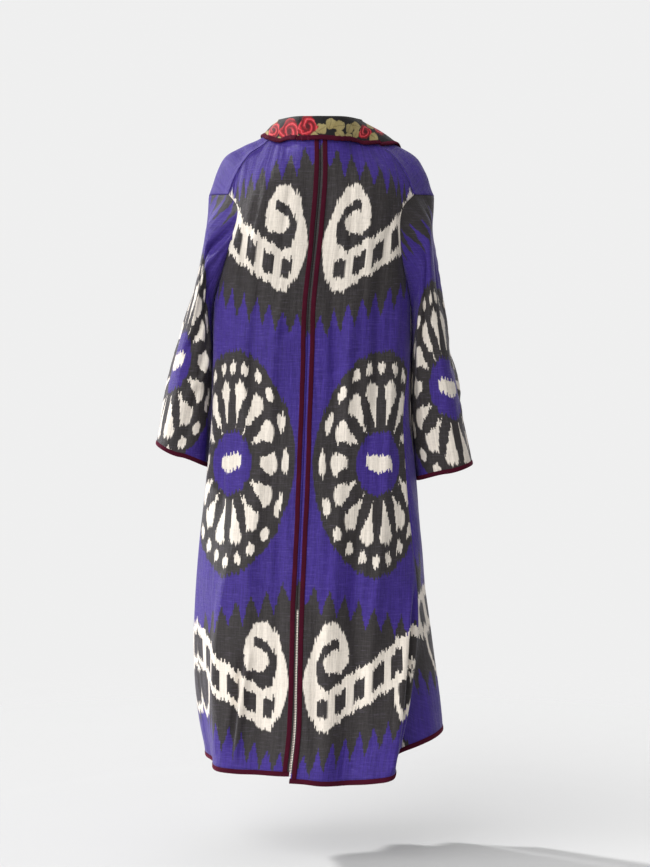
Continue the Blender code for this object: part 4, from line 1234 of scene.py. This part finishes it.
# Colours that are not a user's choice
FLECK = (0.26, 0.22, 0.36)
IKAT_SHEEN, VELVET_SHEEN = (0.85, 0.80, 1.0, 1), (0.75, 0.10, 0.24, 1)
# The velvet's rubbed pile, then the painted sheen that its colour takes where it is seen edge on
RUBBED_PILE, PAINTED_EDGE_SHEEN = (0.090, 0.005, 0.020), (0.200, 0.010, 0.045)
PRINT_BLACK, PRINT_BLACK_WORN = (0.006, 0.005, 0.006), (0.020, 0.015, 0.014)
LEAF_VEIN, LEAF_BLADE, LEAF_STEM = (0.060, 0.050, 0.018), (0.520, 0.430, 0.190), (0.500, 0.400, 0.200)
ROSE_SHADE, ROSE_RED, ROSE_LIGHT = (0.160, 0.002, 0.008), (0.720, 0.018, 0.035), (0.900, 0.210, 0.230)
ROSE_HEART = (0.090, 0.001, 0.006)
FLOOR_GRAIN = (0.7, 0.7, 0.7)


def ikat_finish(sizes):
    """Cotton woven from threads that were dyed in bundles, so that the pattern's edges step and run."""
    cloth = Finish("ikat cotton")
    u, v, _ = cloth.cloth_map()
    column = (u / sizes.bundle).math("FLOOR")
    group = (u / (sizes.bundle * WIDE_BUNDLES) + WIDE_BUNDLES_START).math("FLOOR")
    drift = cloth.grain(u, v, DRIFT) - 0.5
    run = (cloth.chance(column) - 0.5) * sizes.run + (cloth.chance(group + 71) - 0.5) * sizes.run
    w0 = (v + run + drift * DRIFT_DOWN).most(PATTERN_TOP)
    u0 = abs((column + 0.5) * sizes.bundle + drift * DRIFT_OUT)
    w = (w0 - PATTERN_LINE).math("WRAP", PATTERN_REPEAT, PATTERN_START)
    folded = u0.math("PINGPONG", PATTERN_FOLD)
    across = u0.math("PINGPONG", MEDALLION_FOLD) - MEDALLION_U

    upper = (folded - TOP_POINTS_U).math("PINGPONG", TOP_POINT_HALF) / TOP_POINT_HALF
    lower = (folded - FOOT_POINTS_U).math("PINGPONG", FOOT_POINT_HALF) / FOOT_POINT_HALF
    spread = POINT_HEIGHT + cloth.noise(cloth.place(u, 0.0), POINT_RATE, 0.0) * POINT_VARIES
    top = w + BAND_TOP - folded * BAND_TOP_SLOPE - (upper - 0.5) * spread
    foot = BAND_FOOT - folded * BAND_FOOT_SLOPE + (lower - 0.5) * spread - w
    band = top.least(foot)
    ground, figures, eye = medallion(across, w - MEDALLION_W)
    horns, curls = horn(folded, w)
    ivory = horns.most(figures, curls.least(v - CURLS_FROM_V))

    cross, warp, slub = (cloth.grain(u, v, grain) for grain in (WEFT_FIBRE, WARP_FIBRE, SLUB))
    stripe, broad = cloth.grain(u, v, STRIPE), cloth.grain(u, v, FADED)
    crumple, folds = cloth.grain(u, v, CRUMPLE), cloth.grain(u, v, FOLDS_OF_WEAR)
    thread = (slub - 0.5) * 0.75 + (stripe - 0.5) * 0.75 + (cross - 0.5) * 0.6 + (warp - 0.5) * 0.6
    tone = 1.0 + thread * (1 - ivory.mask(sizes.bleed) * 0.6) + (broad - 0.5) * 0.25
    tone = tone + (cloth.chance(column + 17) - 0.5) * 0.14
    soft = sizes.bleed
    colour = cloth.mix(band.most(ground).mask(soft), sizes.purple, sizes.charcoal)
    colour = cloth.mix(eye.mask(soft), colour, sizes.purple)
    colour = cloth.mix(ivory.mask(soft) * (1 - warp.math("GREATER_THAN", 0.72) * 0.25), colour, sizes.ivory)
    stitches = ((v * SELVAGE_RATE).math("SINE") + 0.5) * 0.002
    selvage = (SELVAGE_HALF - abs(u)).least((v - SELVAGE_FROM_V) * 0.1, stitches)
    colour = cloth.mix(selvage.mask(SELVAGE_SOFT), colour, sizes.ivory)
    fleck = ((slub + cross * 0.5 - 0.84) * 6).clamped() * 0.10
    colour = cloth.mix(fleck, colour, FLECK)
    shade = cloth.node("ShaderNodeCombineColor", inputs={0: tone, 1: tone, 2: tone})
    colour = cloth.mix(1.0, colour, shade, "MULTIPLY")
    cloth.set(Base_Color=colour, Roughness=0.45 + broad * 0.20)
    cloth.set(Sheen_Weight=0.22, Sheen_Roughness=0.30, Sheen_Tint=IKAT_SHEEN)
    cloth.set(Specular_IOR_Level=0.28)
    weft = (v * (2 * math.pi / WEFT_PITCH)).math("SINE") * 0.5
    threads = (u * (2 * math.pi / WARP_PITCH)).math("SINE") * 0.3
    cloth.bump(weft + threads + slub * 2.4 + cross * 1.6 + crumple * 11 + folds * 26, IKAT_RELIEF)
    return cloth.material


def velvet_finish(sizes):
    """Short-piled cotton velvet: lighter where the pile is brushed aside, with a painted sheen where seen
    edge on.
    """
    cloth = Finish("maroon velvet")
    u, v, _ = cloth.cloth_map()
    pile, brushed = cloth.grain(u, v, PILE), cloth.grain(u, v, BRUSHED)
    rubbed = ((brushed - 0.52) * 5).clamped()
    # Painted sheen: the velvet's colour lightens towards a paler maroon where its surface is seen edge on
    edge = cloth.node("ShaderNodeLayerWeight", inputs={"Blend": 0.30}, output=1)
    colour = cloth.mix(rubbed * 0.40 + pile * 0.15, sizes.velvet, RUBBED_PILE)
    colour = cloth.mix(edge * edge * 0.25, colour, PAINTED_EDGE_SHEEN)
    cloth.set(Base_Color=colour, Roughness=0.80 + pile * 0.15, Sheen_Weight=0.25, Sheen_Roughness=0.35)
    cloth.set(Sheen_Tint=VELVET_SHEEN, Specular_IOR_Level=0.12)
    cloth.bump(pile * 2 + brushed * 2, VELVET_RELIEF)
    return cloth.material


def rose_print_finish():
    """Crimson roses and khaki leaves printed on black. Each flower and leaf is placed one by one."""
    cloth = Finish("rose print")
    u, v, _ = cloth.cloth_map()
    loose = cloth.noise(cloth.place(u, v), 42.0, 2.0)
    fine = cloth.noise(cloth.place(u, v), 170.0, 2.0)
    x0 = u + (loose - 0.5) * 0.010
    y0 = v + (fine - 0.5) * 0.006
    colour = cloth.mix(fine * 0.4, PRINT_BLACK, PRINT_BLACK_WORN)
    for leaf in LEAVES:
        cosine, sine = math.cos(math.radians(leaf.turn)), math.sin(math.radians(leaf.turn))
        x, y = x0 - leaf.along, y0 - leaf.across
        along = (x * cosine + y * sine) / leaf.length
        aside = abs((y * cosine - x * sine) / leaf.length)
        body = 0.42 - along * along * 1.7 - aside
        vein = abs(aside - 0.012).least(abs((along - aside * 0.7).math("PINGPONG", 0.10)) * 0.8 + 0.012)
        green = cloth.mix(vein.mask(0.03), LEAF_VEIN, LEAF_BLADE)
        green = cloth.mix((along + 0.5).clamped() * 0.5, green, LEAF_STEM, "MULTIPLY")
        colour = cloth.mix(body.mask(0.05), colour, green)
    for rose in ROSES:
        x, y = (x0 - rose.along) / rose.size, (y0 - rose.across) / rose.size
        far = (square(x) + square(y)) ** 0.5
        turn = y.math("ARCTAN2", x)
        lobes = (turn * 2.5).math("SINE") * 0.09 + (turn * 4 + 1).math("SINE") * 0.05
        whorl = (far * 13 + turn * 2 + loose * 5).math("SINE")
        petal = cloth.mix(whorl * 0.5 + 0.5, ROSE_SHADE, ROSE_RED)
        petal = cloth.mix(((whorl - 0.75) * 4).clamped() * 0.5, petal, ROSE_LIGHT)
        petal = cloth.mix((0.30 - far).mask(0.12), petal, ROSE_HEART)
        colour = cloth.mix((1 + lobes - far).mask(0.05), colour, petal)
    weave = cloth.noise(cloth.place(u * 1300, v * 1300), 1.0, 2.0)
    colour = cloth.mix(weave * 0.35, colour, (0.0, 0.0, 0.0))
    cloth.set(Base_Color=colour, Roughness=0.70, Sheen_Weight=0.10, Specular_IOR_Level=0.3)
    cloth.bump(weave * 2 + loose * 6, PRINT_RELIEF)
    return cloth.material


def floor_finish(sizes):
    """A pale matt floor that fades away around the robe, so that no edge of it shows."""
    floor = Finish("pale floor")
    x, y, _ = floor.parts(floor.node("ShaderNodeTexCoord", output=3))
    grain = floor.noise(floor.place(x, y), 3.0, 2.0)
    far = (square(x) + square(y)) ** 0.5
    floor.set(Base_Color=floor.mix(grain * 0.04, sizes.floor, FLOOR_GRAIN), Roughness=0.9)
    floor.set(Specular_IOR_Level=0.0)
    clear = floor.node("ShaderNodeBsdfTransparent")
    share = ((far - sizes.floor_fades[0]) / (sizes.floor_fades[1] - sizes.floor_fades[0])).clamped()
    solid = Sock(floor, floor.shader.outputs[0])
    mixed = floor.node("ShaderNodeMixShader", inputs={0: share, 1: solid, 2: clear})
    floor.feed(floor.output.inputs["Surface"], mixed)
    return floor.material


def length_setting(name, description, default, precision=3):
    return bpy.props.FloatProperty(
        name=name, description=description, default=default, unit="LENGTH", precision=precision
    )


def colour_setting(name, description, default):
    return bpy.props.FloatVectorProperty(
        name=name, description=description, default=default, subtype="COLOR"
    )


def strength_setting(name, description, default):
    return bpy.props.FloatProperty(name=name, description=description, default=default, min=0)


class RobeCloth(bpy.types.PropertyGroup):
    """Sizes of the cloth's pattern and its colours."""

    bundle: length_setting("Bundle", "Width of a bundle of threads that was dyed together", 0.0024, 4)
    run: length_setting("Run", "How far one bundle's pattern has slipped past the next", 0.0095, 4)
    bleed: length_setting("Bleed", "How softly one dye runs into the next", 0.0007, 4)
    purple: colour_setting("Purple", "Dyed ground of the ikat", (0.048, 0.023, 0.235))
    charcoal: colour_setting("Charcoal", "Dark figures of the ikat", (0.037, 0.032, 0.032))
    ivory: colour_setting("Ivory", "Undyed threads of the ikat", (0.90, 0.82, 0.72))
    velvet: colour_setting("Velvet", "Pile of the tapes and bindings", (0.052, 0.003, 0.013))


class RobeStage(bpy.types.PropertyGroup):
    """The floor, the light and the camera's place."""

    floor: colour_setting("Floor", "Colour of the pale floor", (0.64, 0.64, 0.64))
    floor_height: length_setting("Floor Height", "Height of the floor under the hem", -1.50)
    floor_fades: bpy.props.FloatVectorProperty(
        name="Floor Fades", description="Where the floor begins to fade and where it ends", size=2,
        default=(0.9, 2.6), unit="LENGTH",
    )
    backdrop: strength_setting("Backdrop", "Brightness behind the robe", 0.865)
    ambient: strength_setting("Ambient Light", "Brightness of the light from all around", 0.40)
    key_strength: strength_setting("Key Light", "Strength of the light at the wearer's left", 3.0)
    fill_strength: strength_setting("Fill Light", "Strength of the broad light beside the camera", 2.7)
    camera_distance: length_setting("Camera Distance", "How far behind the robe the camera stands", 5.0)
    camera_height: length_setting("Camera Height", "Height of the camera from the foot of the neck", -0.4)


def finish(kind):
    """The shared material of a kind of cloth, made when it is first asked for."""
    made = bpy.data.materials.get(FINISH_NAMES[kind])
    if made:
        return made
    cloth = bpy.context.scene.robe_cloth
    if kind == "ikat":
        return ikat_finish(cloth)
    if kind == "velvet":
        return velvet_finish(cloth)
    return rose_print_finish()


def hung(piece, node):
    """Ties a piece of cloth to the part and hides the cut that it was hung from."""
    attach(piece, "root")
    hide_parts(node)


class ROBE_OT_backs(bpy.types.Operator):
    """Make both back panels and the velvet tapes beside their seam"""

    bl_idname = "robe.backs"
    bl_label = "Make Back Panels"

    def execute(self, context):
        for side in (LEFT, RIGHT):
            name = SIDE_NAMES[side]
            panel = build_back(side, [finish("ikat")])
            hung(panel, f"back_{name}")
            tape = build_back_tape(side, [finish("velvet")])
            hung(tape, f"back_tape_{name}")
        return {"FINISHED"}


class ROBE_OT_fronts(bpy.types.Operator):
    """Make both front panels and the velvet over their edges"""

    bl_idname = "robe.fronts"
    bl_label = "Make Front Panels"

    def execute(self, context):
        for side in (LEFT, RIGHT):
            name = SIDE_NAMES[side]
            panel = build_front(side, [finish("ikat")])
            hung(panel, f"front_{name}")
            edge = build_front_binding(side, [finish("velvet")])
            hung(edge, f"front_binding_{name}")
        return {"FINISHED"}


class ROBE_OT_sleeves(bpy.types.Operator):
    """Make both sleeves and the velvet round their cuffs"""

    bl_idname = "robe.sleeves"
    bl_label = "Make Sleeves"

    def execute(self, context):
        for side in (LEFT, RIGHT):
            name = SIDE_NAMES[side]
            cloth = build_sleeve(side, [finish("ikat")])
            hung(cloth, f"sleeve_{name}")
            edge = build_cuff_binding(side, [finish("velvet")])
            hung(edge, f"cuff_binding_{name}")
        return {"FINISHED"}


class ROBE_OT_hem(bpy.types.Operator):
    """Make the velvet over the hem of both halves"""

    bl_idname = "robe.hem"
    bl_label = "Make Hem Binding"

    def execute(self, context):
        for side in (LEFT, RIGHT):
            name = SIDE_NAMES[side]
            edge = build_hem_binding(side, [finish("velvet")])
            hung(edge, f"hem_binding_{name}")
        return {"FINISHED"}


class ROBE_OT_collar(bpy.types.Operator):
    """Make the turned-down collar and the velvet round its leaf"""

    bl_idname = "robe.collar"
    bl_label = "Make Collar"

    def execute(self, context):
        leaf, edge = build_collar([finish("rose_print"), finish("velvet")])
        hung(leaf, "collar")
        hung(edge, "collar_binding")
        return {"FINISHED"}


def even_light(light, strength):
    """Light that comes from one side and is as strong everywhere, so that the floor stays even."""
    lamp = bpy.data.lights.new(light.name, "SUN")
    lamp.angle = math.radians(light.spread)
    lamp.energy = strength * light.share
    made = bpy.data.objects.new(light.name, lamp)
    made.location = light.place
    made.rotation_euler = (Vector(LIT_PLACE) - Vector(light.place)).to_track_quat("-Z", "Y").to_euler()
    bpy.context.scene.collection.objects.link(made)


def studio_world(stage):
    """A plain pale backdrop that lights the robe more weakly than it shows."""
    world = bpy.data.worlds.new("studio")
    world.use_nodes = True
    nodes, links = world.node_tree.nodes, world.node_tree.links
    path = nodes.new("ShaderNodeLightPath")
    strength = nodes.new("ShaderNodeMapRange")
    strength.inputs["To Min"].default_value = stage.ambient
    strength.inputs["To Max"].default_value = stage.backdrop
    links.new(path.outputs["Is Camera Ray"], strength.inputs["Value"])
    nodes["Background"].inputs["Color"].default_value = (1, 1, 1, 1)
    links.new(strength.outputs["Result"], nodes["Background"].inputs["Strength"])
    return world


class ROBE_OT_stage(bpy.types.Operator):
    """Lay the floor, set up soft studio light and place the camera behind the robe"""

    bl_idname = "robe.stage"
    bl_label = "Make Stage"

    def execute(self, context):
        stage = context.scene.robe_stage
        bm = bmesh.new()
        radius = stage.floor_fades[1] + FLOOR_MARGIN
        bmesh.ops.create_circle(bm, cap_ends=True, radius=radius, segments=FLOOR_SIDES)
        bmesh.ops.translate(bm, verts=bm.verts, vec=(0, 0, stage.floor_height))
        floor = fresh("floor", bm, [floor_finish(stage)])
        for light in LIGHTS:
            even_light(light, stage.key_strength if light.name == "key_light" else stage.fill_strength)
        context.scene.world = studio_world(stage)
        context.scene.view_settings.view_transform = "Standard"
        lens = bpy.data.cameras.new("camera")
        lens.sensor_fit = "HORIZONTAL"
        lens.lens = FOCAL_PIXELS * lens.sensor_width / IMAGE_WIDTH
        lens.shift_x = (IMAGE_WIDTH / 2 - AXIS_PIXEL[0]) / IMAGE_WIDTH
        lens.shift_y = (AXIS_PIXEL[1] - IMAGE_HEIGHT / 2) / IMAGE_WIDTH
        camera = bpy.data.objects.new("camera", lens)
        camera.location = (0, stage.camera_distance, stage.camera_height)
        camera.rotation_euler = (math.pi / 2, 0, math.pi)
        context.scene.collection.objects.link(camera)
        context.scene.camera = camera
        return {"FINISHED"}


class ROBE_PT_robe(bpy.types.Panel):
    """The robe's settings and steps, in the sidebar"""

    bl_idname = "ROBE_PT_robe"
    bl_label = "Robe"
    bl_space_type = "VIEW_3D"
    bl_region_type = "UI"
    bl_category = "Robe"

    def draw(self, context):
        for group in (context.scene.robe_cloth, context.scene.robe_stage):
            for name in group.__annotations__:
                self.layout.prop(group, name)
        for step in STEPS:
            self.layout.operator(step.bl_idname)


STEPS = (ROBE_OT_backs, ROBE_OT_fronts, ROBE_OT_sleeves, ROBE_OT_hem, ROBE_OT_collar, ROBE_OT_stage)
CLASSES = (RobeCloth, RobeStage) + STEPS + (ROBE_PT_robe,)


def register():
    for item in CLASSES:
        bpy.utils.register_class(item)
    bpy.types.Scene.robe_cloth = bpy.props.PointerProperty(type=RobeCloth)
    bpy.types.Scene.robe_stage = bpy.props.PointerProperty(type=RobeStage)


def unregister():
    del bpy.types.Scene.robe_stage
    del bpy.types.Scene.robe_cloth
    for item in reversed(CLASSES):
        bpy.utils.unregister_class(item)


def main():
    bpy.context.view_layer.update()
    register()
    bpy.ops.robe.backs()
    bpy.ops.robe.fronts()
    bpy.ops.robe.sleeves()
    bpy.ops.robe.hem()
    bpy.ops.robe.collar()
    bpy.ops.robe.stage()


if __name__ == "__main__":
    main()
